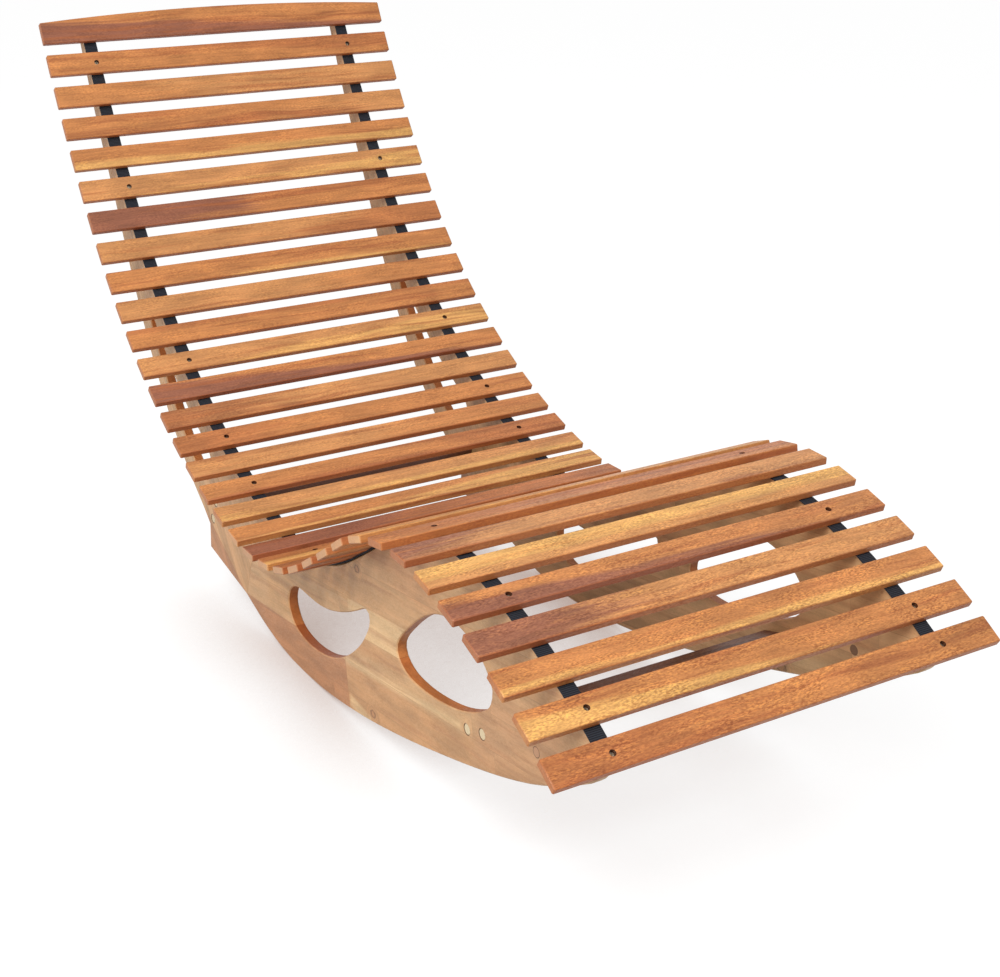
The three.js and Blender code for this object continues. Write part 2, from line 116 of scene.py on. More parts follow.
def mixed(tree, share, first, second, blend="MIX"):
    """The first colour where share is 0 and the second where it is 1."""
    first_colour, second_colour = 6, 7
    inputs = {0: share, first_colour: first, second_colour: second}
    made = add(tree, "ShaderNodeMix", inputs, data_type="RGBA", blend_type=blend)
    return made.outputs[2]


def painted(tree, under, mask, strength, paint, blend="MIX"):
    """Lays a paint over a colour where the mask is one, so strongly."""
    return mixed(tree, sum_of(tree, "MULTIPLY", mask, strength), under, paint, blend)


def rise(tree, value, low, high, bottom=0.0, top=1.0):
    """Goes smoothly from bottom to top while the value goes from low to high."""
    inputs = {"Value": value, "From Min": low, "From Max": high, "To Min": bottom, "To Max": top}
    made = add(tree, "ShaderNodeMapRange", inputs, interpolation_type="SMOOTHSTEP")
    return made.outputs["Result"]


def parts_of(tree, vector):
    """The three numbers in a vector."""
    return add(tree, "ShaderNodeSeparateXYZ", {"Vector": vector}).outputs


def grain_noise(tree, place, seed, scales, detail, roughness=0.5, output="Fac"):
    """A noise with its own scale along, across and through the board."""
    stretched = add(tree, "ShaderNodeMapping", {"Vector": place, "Scale": scales})
    made = add(tree, "ShaderNodeTexNoise", {
        "Vector": stretched.outputs["Vector"],
        "W": seed,
        "Scale": 1.0,
        "Detail": detail,
        "Roughness": roughness,
    }, noise_dimensions="4D")
    return made.outputs[output]


print("Node helpers ready")

# %% [markdown]
# A node group is a graph that several materials share, with named sockets for what differs between them.
# Colours are written in the screen numbers that a paint program shows, because these are easy to judge,
# and are turned into the linear light that the nodes work in.

# %% Define the helpers for groups and colours
def blank_tree(holder):
    """Switches a material or a world to nodes and empties its graph."""
    holder.use_nodes = True
    holder.node_tree.nodes.clear()
    return holder.node_tree


def new_group(name, inputs, outputs):
    """An empty shader group and its inside ends. An input is a kind, or the number a value starts with."""
    kinds = {"value": "NodeSocketFloat", "vector": "NodeSocketVector", "colour": "NodeSocketColor"}
    group = bpy.data.node_groups.new(name, "ShaderNodeTree")
    for socket, start in inputs.items():
        kind = kinds.get(start, kinds["value"])
        made = group.interface.new_socket(socket, in_out="INPUT", socket_type=kind)
        if start not in kinds:
            made.default_value = start
    for socket, kind in outputs.items():
        group.interface.new_socket(socket, in_out="OUTPUT", socket_type=kinds[kind])
    inside = group.nodes.new("NodeGroupInput").outputs
    results = group.nodes.new("NodeGroupOutput").inputs
    return group, inside, results


def use_group(tree, group, inputs):
    """Places a group in a material and returns what it puts out."""
    return add(tree, "ShaderNodeGroup", inputs, node_tree=group).outputs


def colour(red, green, blue):
    """A colour in screen numbers from 0 to 255, turned into the linear light that nodes work in."""
    def linear(level):
        share = level / 255
        return share / 12.92 if share <= 0.04045 else ((share + 0.055) / 1.055) ** 2.4
    return (linear(red), linear(green), linear(blue), 1.0)


def grey(level):
    """A colour without a hue, in linear light from 0 to 1."""
    return (level, level, level, 1.0)


print("Screen grey 128 is", round(colour(128, 128, 128)[0], 3), "in linear light")

# %% [markdown]
# ## Easing the edges
# The CAD solids have knife edges where a router bit or a saw leaves them, and their round parts are
# flat facets. A maker takes every sharp edge off with sandpaper. Here a copy of each solid has its
# loose triangles merged, its gentle bends shaded smooth and its sharp edges rounded by a small Bevel.
# A copy is used because the CAD mesh itself must stay as it is.

# %% Copy a solid and ease its edges
merge_distance = 0.002 * millimetre
flat_limit = math.radians(0.5)
smooth_limit = math.radians(35)
sharp_limit = math.radians(40)


def finished(piece, *nodes):
    """Lets a piece move with the chaise and take the nodes' place."""
    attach(piece, "root")
    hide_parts(*nodes)
    return piece


def dressed_in(piece, material):
    """Gives a piece one material in place of those it had."""
    piece.data.materials.clear()
    piece.data.materials.append(material)
    return piece


def made_plain(piece):
    """Turns a piece with modifiers into a plain mesh."""
    graph = bpy.context.evaluated_depsgraph_get()
    mesh = bpy.data.meshes.new_from_object(piece.evaluated_get(graph))
    piece.modifiers.clear()
    piece.data = mesh
    return piece


def eased(node, label, ease):
    """A copy of a CAD solid with smooth bends and edges rounded by so much."""
    shape = bmesh.new()
    shape.from_mesh(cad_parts[node].data)
    bmesh.ops.remove_doubles(shape, verts=shape.verts, dist=merge_distance)
    bmesh.ops.dissolve_limit(shape, angle_limit=flat_limit, verts=shape.verts, edges=shape.edges)
    mesh = bpy.data.meshes.new(label)
    shape.to_mesh(mesh)
    shape.free()
    mesh.shade_smooth()
    mesh.set_sharp_from_angle(angle=smooth_limit)
    piece = bpy.data.objects.new(label, mesh)
    bpy.context.scene.collection.objects.link(piece)
    bevel = piece.modifiers.new("Eased edges", "BEVEL")
    bevel.limit_method = "ANGLE"
    bevel.angle_limit = sharp_limit
    bevel.width = ease
    bevel.segments = 2
    bevel.harden_normals = True
    return made_plain(piece)


def lie_of(node):
    """Where a board lies: its middle, and the direction that its broad face looks in."""
    low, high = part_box(node)
    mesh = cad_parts[node].data
    broadest = max(mesh.polygons, key=lambda face: face.area)
    outward = broadest.normal.copy()
    if outward.z < 0:
        outward.negate()
    return (low + high) / 2, outward


middle, outward = lie_of("slat_01")
print("Slat 1 has its middle at", [round(value, 3) for value in middle])

# %% [markdown]
# ## Grain that runs with the board
# Oiled acacia shows four things at once: dark streaks that wander along the board, lighter and darker
# patches where the fibres lean, which are a painted sheen, fine lines, and short brown and gold dashes
# where its pores are cut open. The brown dashes are the pores' own colour, and the gold ones are partly
# the wood's own flecks and partly painted glints. All are longer than they are wide, so each is a noise
# that is squeezed across the grain and stretched along it. The group works in the board's own directions
# (metres along, across and through), so that one group serves a slat, a side panel and a stretcher.

# %% Build the oiled wood group
pore_tint = (0.66, 0.54, 0.44, 1.0)
gold_fleck_and_glint_tint = (1.42, 1.46, 1.17, 1.0)
most_sway = 20 * millimetre

oiled_wood, given, result = new_group(
    "Oiled wood",
    {
        "Place": "vector",
        "Seed": 0.0,
        "Wood": "colour",
        "Second wood": "colour",
        "Second share": 0.0,
        "Streak wood": "colour",
        "Streaks": 0.5,
        "Lines": 1.0,
        "Flecks and glints": 1.0,
    },
    {"Colour": "colour", "Roughness": "value", "Height": "value"},
)
tree = oiled_wood
seed = given["Seed"]
wander = grain_noise(tree, given["Place"], seed, (6.0, 16.0, 16.0), 2.0, output="Color")
push = vector_sum(tree, "SUBTRACT", wander, (0.5, 0.5, 0.5))
sway = vector_sum(tree, "MULTIPLY", push, (0.0, most_sway, most_sway))
place = vector_sum(tree, "ADD", given["Place"], sway)
streaks = grain_noise(tree, place, seed, (2.8, 105.0, 105.0), 2.0, 0.6)
# Painted sheen: lighter and darker patches where the fibres lean.
sheen_patches = grain_noise(tree, place, seed, (13.0, 48.0, 48.0), 2.0)
lines = grain_noise(tree, place, seed, (9.0, 380.0, 380.0), 3.0, 0.65)
dashes = grain_noise(tree, place, seed, (260.0, 820.0, 820.0), 1.0)
fleck_and_glint_patches = grain_noise(tree, place, seed, (24.0, 80.0, 80.0), 1.0)

body = mixed(tree, given["Second share"], given["Wood"], given["Second wood"])
streaked = painted(tree, body, rise(tree, streaks, 0.50, 0.68), given["Streaks"], given["Streak wood"])
line_depth = sum_of(tree, "MULTIPLY", given["Lines"], 0.80)
line_level = sum_of(tree, "MULTIPLY", sum_of(tree, "SUBTRACT", lines, 0.5), line_depth)
sheen_level = rise(tree, sheen_patches, 0.28, 0.72, 0.84, 1.16)
level = sum_of(tree, "ADD", sheen_level, line_level)
lit = scaled(tree, streaked, level)
# Painted glints: the gold dashes brighten the colour where light glints off cut pores, in patches; the
# brown dashes are the pores' own colour.
strength = sum_of(tree, "MULTIPLY", rise(tree, fleck_and_glint_patches, 0.32, 0.66, 0.35, 1.0), given["Flecks and glints"])
pored = painted(tree, lit, rise(tree, dashes, 0.50, 0.34), strength, pore_tint, "MULTIPLY")
flecked_and_glinting = painted(tree, pored, rise(tree, dashes, 0.50, 0.66), strength, gold_fleck_and_glint_tint, "MULTIPLY")
tree.links.new(flecked_and_glinting, result["Colour"])
tree.links.new(rise(tree, dashes, 0.35, 0.65, 0.55, 0.38), result["Roughness"])
tree.links.new(sum_of(tree, "MULTIPLY_ADD", lines, 0.4, dashes), result["Height"])
print("Oiled wood group has", len(tree.nodes), "nodes")

# %% [markdown]
# ## Ends and edges
# Cut across, wood drinks more oil and shows the ends of its pores, so the ends of the slats have a
# colour of their own. The slats' long edges and eased rims are painted darker and redder, as painted
# shade, and the rubbed corners of the panels paler. All are masks that come from the way a surface
# faces: a face that looks along the board is an end, and on an eased edge the direction turns from one
# face to the next.

# %% Build the facing and eased edge groups
facing_along, given, result = new_group(
    "Facing along",
    {"Facing": "vector", "Direction": "vector"},
    {"Share": "value"},
)
tree = facing_along
lean = vector_sum(tree, "DOT_PRODUCT", given["Facing"], given["Direction"])
tree.links.new(rise(tree, sum_of(tree, "ABSOLUTE", lean), 0.55, 0.85), result["Share"])

eased_edge, given, result = new_group(
    "Eased edge",
    {"Facing": "vector", "Direction": "vector", "Place": "vector"},
    {"Share": "value"},
)
tree = eased_edge
lean = vector_sum(tree, "DOT_PRODUCT", given["Facing"], given["Direction"])
lean_squared = sum_of(tree, "MULTIPLY", lean, lean)
turning = sum_of(tree, "MULTIPLY", lean_squared, sum_of(tree, "SUBTRACT", 1.0, lean_squared))
edge_breakup = add(tree, "ShaderNodeTexNoise", {"Vector": given["Place"], "Scale": 90.0, "Detail": 3.0})
uneven = rise(tree, edge_breakup.outputs["Fac"], 0.35, 0.65, 0.3, 1.0)
on_edge = sum_of(tree, "MULTIPLY", rise(tree, turning, 0.08, 0.24), uneven)
tree.links.new(on_edge, result["Share"])
print("Facing and eased edge groups built")

# %% [markdown]
# ## From directions to a material
# A Mapping node of the Texture kind moves a pattern to a board's middle and turns it along the board.
# Every wooden material starts with it, and all materials of the chaise end in the same shader, so both
# are small functions. The shader's own values stay on its sockets, and only what changes over the
# surface is joined.

# %% Start and end a material
def turned_to(along, across):
    """The turn that lines a pattern up with a board's own directions."""
    through = along.cross(across)
    return Matrix((along, across, through)).transposed().to_euler("XYZ")


def start_material(name, centre, along, across):
    """A new material, its tree, the place on the board and the way the surface faces."""
    material = bpy.data.materials.new(name)
    tree = blank_tree(material)
    source = add(tree, "ShaderNodeTexCoord")
    mapping = add(tree, "ShaderNodeMapping", {
        "Vector": source.outputs["Object"],
        "Location": centre,
        "Rotation": turned_to(along, across),
    }, vector_type="TEXTURE")
    return material, tree, mapping.outputs["Vector"], source.outputs["Normal"]


def end_material(tree, base, roughness, height, depth, relief=0.5, highlight=0.35, metallic=0.0):
    """Joins the colour, roughness and relief to a Principled shader and sets its plain values."""
    bump = add(tree, "ShaderNodeBump", {"Height": height, "Strength": relief, "Distance": depth})
    shader = add(tree, "ShaderNodeBsdfPrincipled", {
        "Base Color": base,
        "Roughness": roughness,
        "Normal": bump.outputs["Normal"],
        "Specular IOR Level": highlight,
        "Metallic": metallic,
    })
    add(tree, "ShaderNodeOutputMaterial", {"Surface": shader.outputs["BSDF"]})


print("Materials can be started and ended")

# %% [markdown]
# ## The slats' woods
# No two slats match. Each one is amber, honey, gold, russet, umber or plum, and many have a second wood
# along one edge or at one end, where heartwood turns into sapwood. So a slat's material is a choice of
# two woods and of the side on which the second one lies. The slats are numbered from the head to the
# foot, left is the camera's side, and the lower edge is the one nearer the foot.

# %% Choose the woods
woods = {
    "plum": colour(142, 87, 68),
    "umber": colour(164, 99, 61),
    "russet": colour(186, 115, 68),
    "amber": colour(200, 131, 77),
    "honey": colour(205, 142, 88),
    "gold": colour(224, 169, 100),
}
streaks_in = {
    "plum": colour(118, 70, 50),
    "umber": colour(126, 68, 40),
    "russet": colour(148, 82, 50),
    "amber": colour(166, 96, 56),
    "honey": colour(176, 108, 64),
    "gold": colour(200, 136, 76),
}
left, right, upper, lower = Vector((-1, 0, 0)), Vector((1, 0, 0)), Vector((0, -1, 0)), Vector((0, 1, 0))

# The main wood, the second wood, the side it lies on, and how much of the slat it takes.
slat_choices = (
    ("amber", "plum", lower + left, 0.36),
    ("amber", "russet", upper + right, 0.30),
    ("honey", "amber", left, 0.35),
    ("amber", "honey", right, 0.30),
    ("amber", "gold", lower, 0.36),
    ("honey", "gold", lower + right, 0.30),
    ("amber", "plum", left, 0.42),
    ("honey", "russet", right, 0.30),
    ("amber", "gold", lower, 0.10),
    ("honey", "amber", right, 0.40),
    ("amber", "russet", upper, 0.30),
    ("honey", "gold", lower + right, 0.36),
    ("amber", "plum", lower + left, 0.42),
    ("honey", "umber", left, 0.20),
    ("amber", "russet", left, 0.25),
    ("honey", "amber", right, 0.40),
    ("amber", "russet", right, 0.35),
    ("honey", "gold", lower, 0.30),
    ("amber", "gold", lower + right, 0.45),
    ("russet", "plum", left, 0.52),
    ("russet", "gold", lower, 0.42),
    # Slats 22 to 25 rise to the knee and lean away from the light; their umber is partly painted shade.
    ("umber", "russet", lower, 0.30),
    ("umber", "russet", upper, 0.25),
    ("umber", "amber", lower + right, 0.40),
    ("umber", "honey", lower, 0.45),
    ("amber", "russet", right, 0.35),
    ("honey", "gold", lower, 0.30),
    ("russet", "amber", lower, 0.40),
    ("honey", "plum", left, 0.12),
    ("gold", "honey", lower, 0.40),
    ("amber", "plum", lower + left, 0.30),
    ("honey", "plum", left, 0.26),
    ("amber", "gold", lower, 0.24),
    ("amber", "gold", lower + left, 0.22),
    ("amber", "russet", left, 0.30),
)
print("Woods chosen for", len(slat_choices), "slats")

# %% [markdown]
# The line between two woods is never straight. A long slow noise bends it, and a second one frays it
# into tongues that follow the grain.

# %% Build the two woods group
two_woods, given, result = new_group(
    "Two woods",
    {
        "Place": "vector",
        "Half size": "vector",
        "Side": "vector",
        "Share": 0.5,
        "Seed": 0.0,
    },
    {"Second share": "value"},
)
tree = two_woods
relative = vector_sum(tree, "DIVIDE", given["Place"], given["Half size"])
reach = vector_sum(tree, "DOT_PRODUCT", relative, given["Side"])
bend = grain_noise(tree, given["Place"], given["Seed"], (4.0, 20.0, 20.0), 1.0)
fray = grain_noise(tree, given["Place"], given["Seed"], (6.0, 220.0, 220.0), 3.0)
bent = sum_of(tree, "ADD", reach, sum_of(tree, "MULTIPLY_ADD", bend, 1.2, -0.6))
frayed = sum_of(tree, "ADD", bent, sum_of(tree, "MULTIPLY_ADD", fray, 1.0, -0.5))
start_of_second = sum_of(tree, "MULTIPLY_ADD", given["Share"], -2.0, 1.0)
past = sum_of(tree, "SUBTRACT", frayed, start_of_second)
tree.links.new(rise(tree, past, -0.22, 0.26, 0.0, 0.9), result["Second share"])
print("Two woods group built")

# %% [markdown]
# ## The slats
# Each slat is a thin board with rounded edges and corners. Its copy is eased by less than half a
# millimetre, and its material is made from its own choice of woods, its own middle and its own tilt,
# so that the grain runs from end to end however the slat leans. Ten slats have a screw at each side, and
# the shade in a screw hole is painted: a dark round mark in the material reaches just past the hole's
# rim. The mark is drawn at one side only, and taking the place without its sign mirrors it to the other.
# The panels use the same group for the painted shade in the gaps round their plugs.

# %% Build the round mark group
round_mark, given, result = new_group(
    "Round mark",
    {"Place": "vector", "Middle": "vector", "Radius": 0.004, "Softness": 0.0002},
    {"Share": "value"},
)
tree = round_mark
offset = vector_sum(tree, "SUBTRACT", given["Place"], given["Middle"])
far = vector_sum(tree, "LENGTH", vector_sum(tree, "MULTIPLY", offset, (1.0, 1.0, 0.0)))
outer = sum_of(tree, "ADD", given["Radius"], given["Softness"])
inner = sum_of(tree, "SUBTRACT", given["Radius"], given["Softness"])
tree.links.new(rise(tree, far, outer, inner), result["Share"])
print("Round mark group built")

# %% [markdown]
# A slat's material is put together from the groups. The woods come first, then the colour of the ends
# and the painted shade of the long edges is laid on where the surface faces that way, and the painted
# shade in the screw holes comes last. The painted glints, and the pore dashes with them, grow stronger
# towards the foot, where the light falls flat along them.

# %% Write the slats' material
slat_ease = 0.4 * millimetre
slat_half = (0.300, 0.0175, 0.005)
sideways = Vector((1, 0, 0))
pale_end = colour(222, 172, 126)
dark_end = colour(188, 118, 72)
painted_edge_shade = colour(176, 94, 50)
pale_ended = range(19, 28)
least_fleck_and_glint = 0.5
seed_step = 3.7
screwed_slats = (2, 6, 12, 15, 17, 21, 28, 31, 34, 35)
strap_line = 223 * millimetre
hole_radius = 3.9 * millimetre
hole_softness = 0.2 * millimetre
painted_hole_shade = (0.16, 0.12, 0.10, 1.0)


def slat_wood(name, number, centre, across, outward, choice):
    """A slat's own material."""
    main, second, side, share = choice
    material, tree, place, facing = start_material(name, centre, sideways, across)
    seed = number * seed_step
    # The painted glints, with the pore dashes, grow towards the foot, where the light falls flat along the
    # slats.
    fleck_and_glint_strength = least_fleck_and_glint + (1 - least_fleck_and_glint) * (number / len(slat_choices)) ** 2
    second_share = use_group(tree, two_woods, {
        "Place": place,
        "Half size": slat_half,
        "Side": side,
        "Share": share,
        "Seed": seed,
    })["Second share"]
    wood = use_group(tree, oiled_wood, {
        "Place": place,
        "Seed": seed,
        "Wood": woods[main],
        "Second wood": woods[second],
        "Second share": second_share,
        "Streak wood": streaks_in[main],
        "Streaks": 0.75,
        "Flecks and glints": fleck_and_glint_strength,
    })
    ends = use_group(tree, facing_along, {"Facing": facing, "Direction": sideways})["Share"]
    edges = use_group(tree, facing_along, {"Facing": facing, "Direction": across})["Share"]
    rim = use_group(tree, eased_edge, {"Facing": facing, "Direction": outward, "Place": place})["Share"]
    end_colour = pale_end if number in pale_ended else dark_end
    surface = painted(tree, wood["Colour"], ends, 0.7, end_colour)
    # Painted shade: the long edges and eased rims are darkened and reddened where less light reaches them.
    surface = painted(tree, surface, edges, 0.6, painted_edge_shade)
    surface = painted(tree, surface, rim, 0.35, painted_edge_shade)
    # Painted shade: the screw hole's wall is darkened, as the light down in the hole is dim.
    if number in screwed_slats:
        in_hole = use_group(tree, round_mark, {
            "Place": vector_sum(tree, "ABSOLUTE", place),
            "Middle": (strap_line, 0.0, 0.0),
            "Radius": hole_radius,
            "Softness": hole_softness,
        })["Share"]
        surface = mixed(tree, in_hole, surface, painted_hole_shade, "MULTIPLY")
    end_material(tree, surface, wood["Roughness"], wood["Height"], 0.2 * millimetre)
    return material


print("The slats' material is ready, with dark holes in", len(screwed_slats), "slats")

# %% [markdown]
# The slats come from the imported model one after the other, head to foot. The broad face of a slat tells
# which way it looks, and the way across it follows from that and from the line along it.

# %% Make the slats
slats = []
for number, choice in enumerate(slat_choices, start=1):
    node = f"slat_{number:02d}"
    centre, outward = lie_of(node)
    across = outward.cross(sideways)
    if across.y > 0:
        across.negate()
    wood = slat_wood(f"Wood of {node}", number, centre, across, outward, choice)
    slat = dressed_in(eased(node, f"oiled_{node}", slat_ease), wood)
    slats.append(finished(slat, node))
print("Slats made:", len(slats), "with", len(slats[0].data.polygons), "faces in the first")

# %% [markdown]
# ## The glued-up side panels
# A panel this wide isn't one board. Short staves about as wide as two fingers are glued edge to edge and
# end to end, and each keeps its own tone. Blender's Brick Texture is just that: rows of blocks with
# shifted ends, each with its own grey, and a thin line between them. Here the grey becomes tone, the line
# becomes a faint glue line, and each stave's grain is taken from a place of its own.

# %% Build the glued staves group
stave_width = 46 * millimetre
stave_length = 390 * millimetre
glue_line = 0.3 * millimetre
row_shift = 0.12

glued_staves, given, result = new_group(
    "Glued staves",
    {"Place": "vector", "Start": "vector"},
    {"Tone": "value", "Glue": "value", "Place": "vector"},
)
tree = glued_staves
bricks = add(tree, "ShaderNodeTexBrick", {
    "Vector": vector_sum(tree, "SUBTRACT", given["Place"], given["Start"]),
    "Color1": grey(0.0),
    "Color2": grey(1.0),
    "Mortar": grey(0.5),
    "Scale": 1.0,
    "Mortar Size": glue_line,
    "Mortar Smooth": 0.3,
    "Brick Width": stave_length,
    "Row Height": stave_width,
}, offset=row_shift, offset_frequency=2)
tone = parts_of(tree, bricks.outputs["Color"])["X"]
jump = vector_sum(tree, "MULTIPLY", bricks.outputs["Color"], (0.9, 0.35, 0.2))
tree.links.new(tone, result["Tone"])
tree.links.new(bricks.outputs["Fac"], result["Glue"])
tree.links.new(vector_sum(tree, "ADD", given["Place"], jump), result["Place"])
print("Staves are", stave_width, "m wide and", stave_length, "m long")

# %% [markdown]
# Some staves are known one by one: a red one along the rocker under the crescent, a cream streak of
# sapwood, a red corner on the heel. Each is a box laid on the panel, which is one inside, zero outside
# and softens over a chosen distance. The same box also marks the cut-outs, whose walls get painted shade.

# %% Build the patch group
patch, given, result = new_group(
    "Patch",
    {
        "Place": "vector",
        "Middle": "vector",
        "Turn": "vector",
        "Half size": "vector",
        "Softness": 0.001,
    },
    {"Share": "value"},
)
tree = patch
laid = add(tree, "ShaderNodeMapping", {
    "Vector": given["Place"], "Location": given["Middle"], "Rotation": given["Turn"],
}, vector_type="TEXTURE")
away = vector_sum(tree, "ABSOLUTE", laid.outputs["Vector"])
past = parts_of(tree, vector_sum(tree, "SUBTRACT", away, given["Half size"]))
outside = sum_of(tree, "MAXIMUM", past["X"], past["Y"])
softened = sum_of(tree, "DIVIDE", outside, given["Softness"])
tree.links.new(rise(tree, softened, 1.0, -1.0), result["Share"])
print("Patch group built")

# %% [markdown]
# A knot is where a twig grew through the stave: a small dark ring with a reddish eye, and the grain
# flows round it. The group measures how far a place is from the knot's middle, and also pushes the
# place away from the middle, so that the grain that is drawn from it bends.

# %% Build the knot group
knot, given, result = new_group(
    "Knot",
    {"Place": "vector", "Middle": "vector", "Radius": 0.005},
    {"Ring": "value", "Eye": "value", "Place": "vector"},
)
tree = knot
offset = vector_sum(tree, "SUBTRACT", given["Place"], given["Middle"])
in_plane = vector_sum(tree, "MULTIPLY", offset, (0.7, 1.0, 0.0))
far = vector_sum(tree, "LENGTH", in_plane)
radii = sum_of(tree, "DIVIDE", far, given["Radius"])
ripple = add(tree, "ShaderNodeTexNoise", {"Vector": given["Place"], "Scale": 240.0, "Detail": 2.0})
radii = sum_of(tree, "ADD", radii, sum_of(tree, "MULTIPLY_ADD", ripple.outputs["Fac"], 1.4, -0.7))
off_ring = sum_of(tree, "ABSOLUTE", sum_of(tree, "SUBTRACT", radii, 1.0))
tree.links.new(rise(tree, off_ring, 0.42, 0.06), result["Ring"])
tree.links.new(rise(tree, radii, 1.05, 0.55), result["Eye"])
nearness = rise(tree, radii, 3.5, 0.5, 0.0, 0.4)
bent_round = vector_sum(tree, "SUBTRACT", given["Place"], scaled(tree, offset, nearness))
tree.links.new(bent_round, result["Place"])
print("Knot group built")

# %% [markdown]
# ## The four side panels
# The base panels carry the seat, and their lower edges are the rockers. The back panels rise from the
# mitre behind the seat to the head. Staves run along each panel's length, so the base panels' staves
# climb slightly to the foot and the back panels' staves stand steeply. Where the router cut through,
# the walls of the cut-outs are painted a deep orange brown: painted shade, as the light inside them is dim.

# %% Choose the panels' colours
face_out = Vector((1, 0, 0))
pale_stave = colour(217, 173, 125)
tan_stave = colour(203, 152, 105)
red_stave = colour(191, 134, 92)
yellow_stave = colour(211, 162, 110)
pink_stave = colour(203, 153, 111)
cream = colour(234, 198, 148)
figure_brown = colour(182, 128, 88)
painted_cut_shade = (0.74, 0.43, 0.25, 1.0)
glue_brown = colour(160, 112, 76)
knot_brown = colour(120, 76, 52)
painted_gap_shade = colour(92, 56, 36)
ring_width = 0.8 * millimetre
ring_softness = 0.3 * millimetre
print("The rings round the plugs are", ring_width, "m wide")

# %% [markdown]
# Everything that differs over a panel is laid on in turn: the staves' tones, the staves that are known
# one by one, the oiled grain, the knots, the painted shade on the cut-outs' walls, the rubbed rims and
# the painted shade in the gaps round the plugs. The knots come into the place first, so that the grain
# is drawn bent round them.

# %% Write the panels' material
def panel_directions(climb):
    """Along and across a panel in the chaise's own directions, for staves that climb to the foot."""
    along = Vector((0, -math.cos(climb), math.sin(climb)))
    across = Vector((0, math.sin(climb), math.cos(climb)))
    return along, across


def patch_share(tree, place, middle, turn, half_size, softness):
    """How far a place is inside a box that lies on the panel, turned by so many degrees."""
    found = use_group(tree, patch, {
        "Place": place,
        "Middle": (*middle, 0.0),
        "Turn": (0.0, 0.0, math.radians(turn)),
        "Half size": (*half_size, 1.0),
        "Softness": softness,
    })
    return found["Share"]


def panel_wood(name, rounds, climb, seed, start, known_staves, cut_outs, knots):
    """The material of a glued-up side panel."""
    along, across = panel_directions(climb)
    material, tree, place, facing = start_material(name, (0.0, 0.0, 0.0), along, across)
    flat_place = place
    rings, eyes = [], []
    for middle, radius in knots:
        found = use_group(tree, knot, {"Place": place, "Middle": (*middle, 0.0), "Radius": radius})
        rings.append(found["Ring"])
        eyes.append(found["Eye"])
        place = found["Place"]
    staves = use_group(tree, glued_staves, {"Place": place, "Start": (*start, 0.0)})
    base = painted(tree, pale_stave, staves["Tone"], 0.6, tan_stave)
    for wood_colour, strength, box in known_staves:
        base = painted(tree, base, patch_share(tree, flat_place, *box), strength, wood_colour)
    wood = use_group(tree, oiled_wood, {
        "Place": staves["Place"],
        "Seed": seed,
        "Wood": base,
        "Second wood": base,
        "Streak wood": figure_brown,
        "Streaks": 0.45,
        "Lines": 0.35,
        "Flecks and glints": 0.16,
    })
    surface = painted(tree, wood["Colour"], staves["Glue"], 0.45, glue_brown)
    for ring, eye in zip(rings, eyes):
        surface = painted(tree, surface, eye, 0.45, red_stave)
        surface = painted(tree, surface, ring, 0.7, knot_brown)
    broad_face = use_group(tree, facing_along, {"Facing": facing, "Direction": face_out})["Share"]
    # Painted shade: the walls of the cut-outs are darkened where the light inside them is dim.
    for box in cut_outs:
        in_cut = sum_of(tree, "SUBTRACT", patch_share(tree, flat_place, *box), broad_face)
        wall = sum_of(tree, "MAXIMUM", in_cut, 0.0)
        surface = mixed(tree, wall, surface, painted_cut_shade, "MULTIPLY")
    on_rim = {"Facing": facing, "Direction": face_out, "Place": flat_place}
    rim = use_group(tree, eased_edge, on_rim)["Share"]
    surface = painted(tree, surface, rim, 0.35, cream)
    # Painted shade: a dark ring round each cap and plug, where the gap round it would be in shade.
    for middle, radius in rounds:
        ringed = use_group(tree, round_mark, {
            "Place": flat_place,
            "Middle": (*middle, 0.0),
            "Radius": radius + ring_width,
            "Softness": ring_softness,
        })["Share"]
        surface = painted(tree, surface, ringed, 0.8, painted_gap_shade)
    end_material(tree, surface, wood["Roughness"], wood["Height"], 0.1 * millimetre)
    return material


print("The panels' material is ready")

# %% [markdown]
# What is known of each panel is written down here. Places are in metres along and across the staves.
# A known stave is a colour, its strength and a box: the box's middle, its turn in degrees, its half size
# and its softness. A cut-out is a box alone, and a knot is its middle and its radius. The two panels of
# a kind share the climb of their staves and their cut-outs, and the rest is each panel's own.

# %% Choose what each panel shows
crisp = 0.6 * millimetre
near_base_staves = (
    (tan_stave, 0.9, ((0.450, 0.020), 0.0, (0.280, 0.038), 0.006)),
    (yellow_stave, 0.7, ((0.020, 0.100), 0.0, (0.100, 0.030), 0.010)),
    (yellow_stave, 0.8, ((0.050, 0.200), 0.0, (0.162, 0.053), crisp)),
    (pink_stave, 0.8, ((0.620, 0.090), 0.0, (0.100, 0.050), 0.030)),
    (red_stave, 0.5, ((0.360, 0.235), -10.0, (0.100, 0.030), 0.020)),
    (red_stave, 1.0, ((-0.028, -0.010), -1.2, (0.200, 0.072), crisp)),
    (cream, 0.9, ((0.330, 0.063), 1.5, (0.155, 0.003), 0.008)),
    (tan_stave, 0.9, ((0.280, 0.093), 0.0, (0.065, 0.011), 0.008)),
    (cream, 0.6, ((0.300, 0.128), 0.0, (0.100, 0.022), crisp)),
    (cream, 0.7, ((0.205, -0.004), -14.0, (0.030, 0.008), 0.004)),
)
far_base_staves = (
    (tan_stave, 0.8, ((0.250, 0.150), 0.0, (0.300, 0.020), 0.015)),
    (red_stave, 0.5, ((0.520, 0.100), 2.0, (0.180, 0.012), 0.012)),
    (cream, 0.6, ((0.600, 0.050), 0.0, (0.060, 0.010), 0.006)),
)
heel_stave = (red_stave, 1.0, ((-0.1842, -0.1875), 25.6, (0.100, 0.040), crisp))
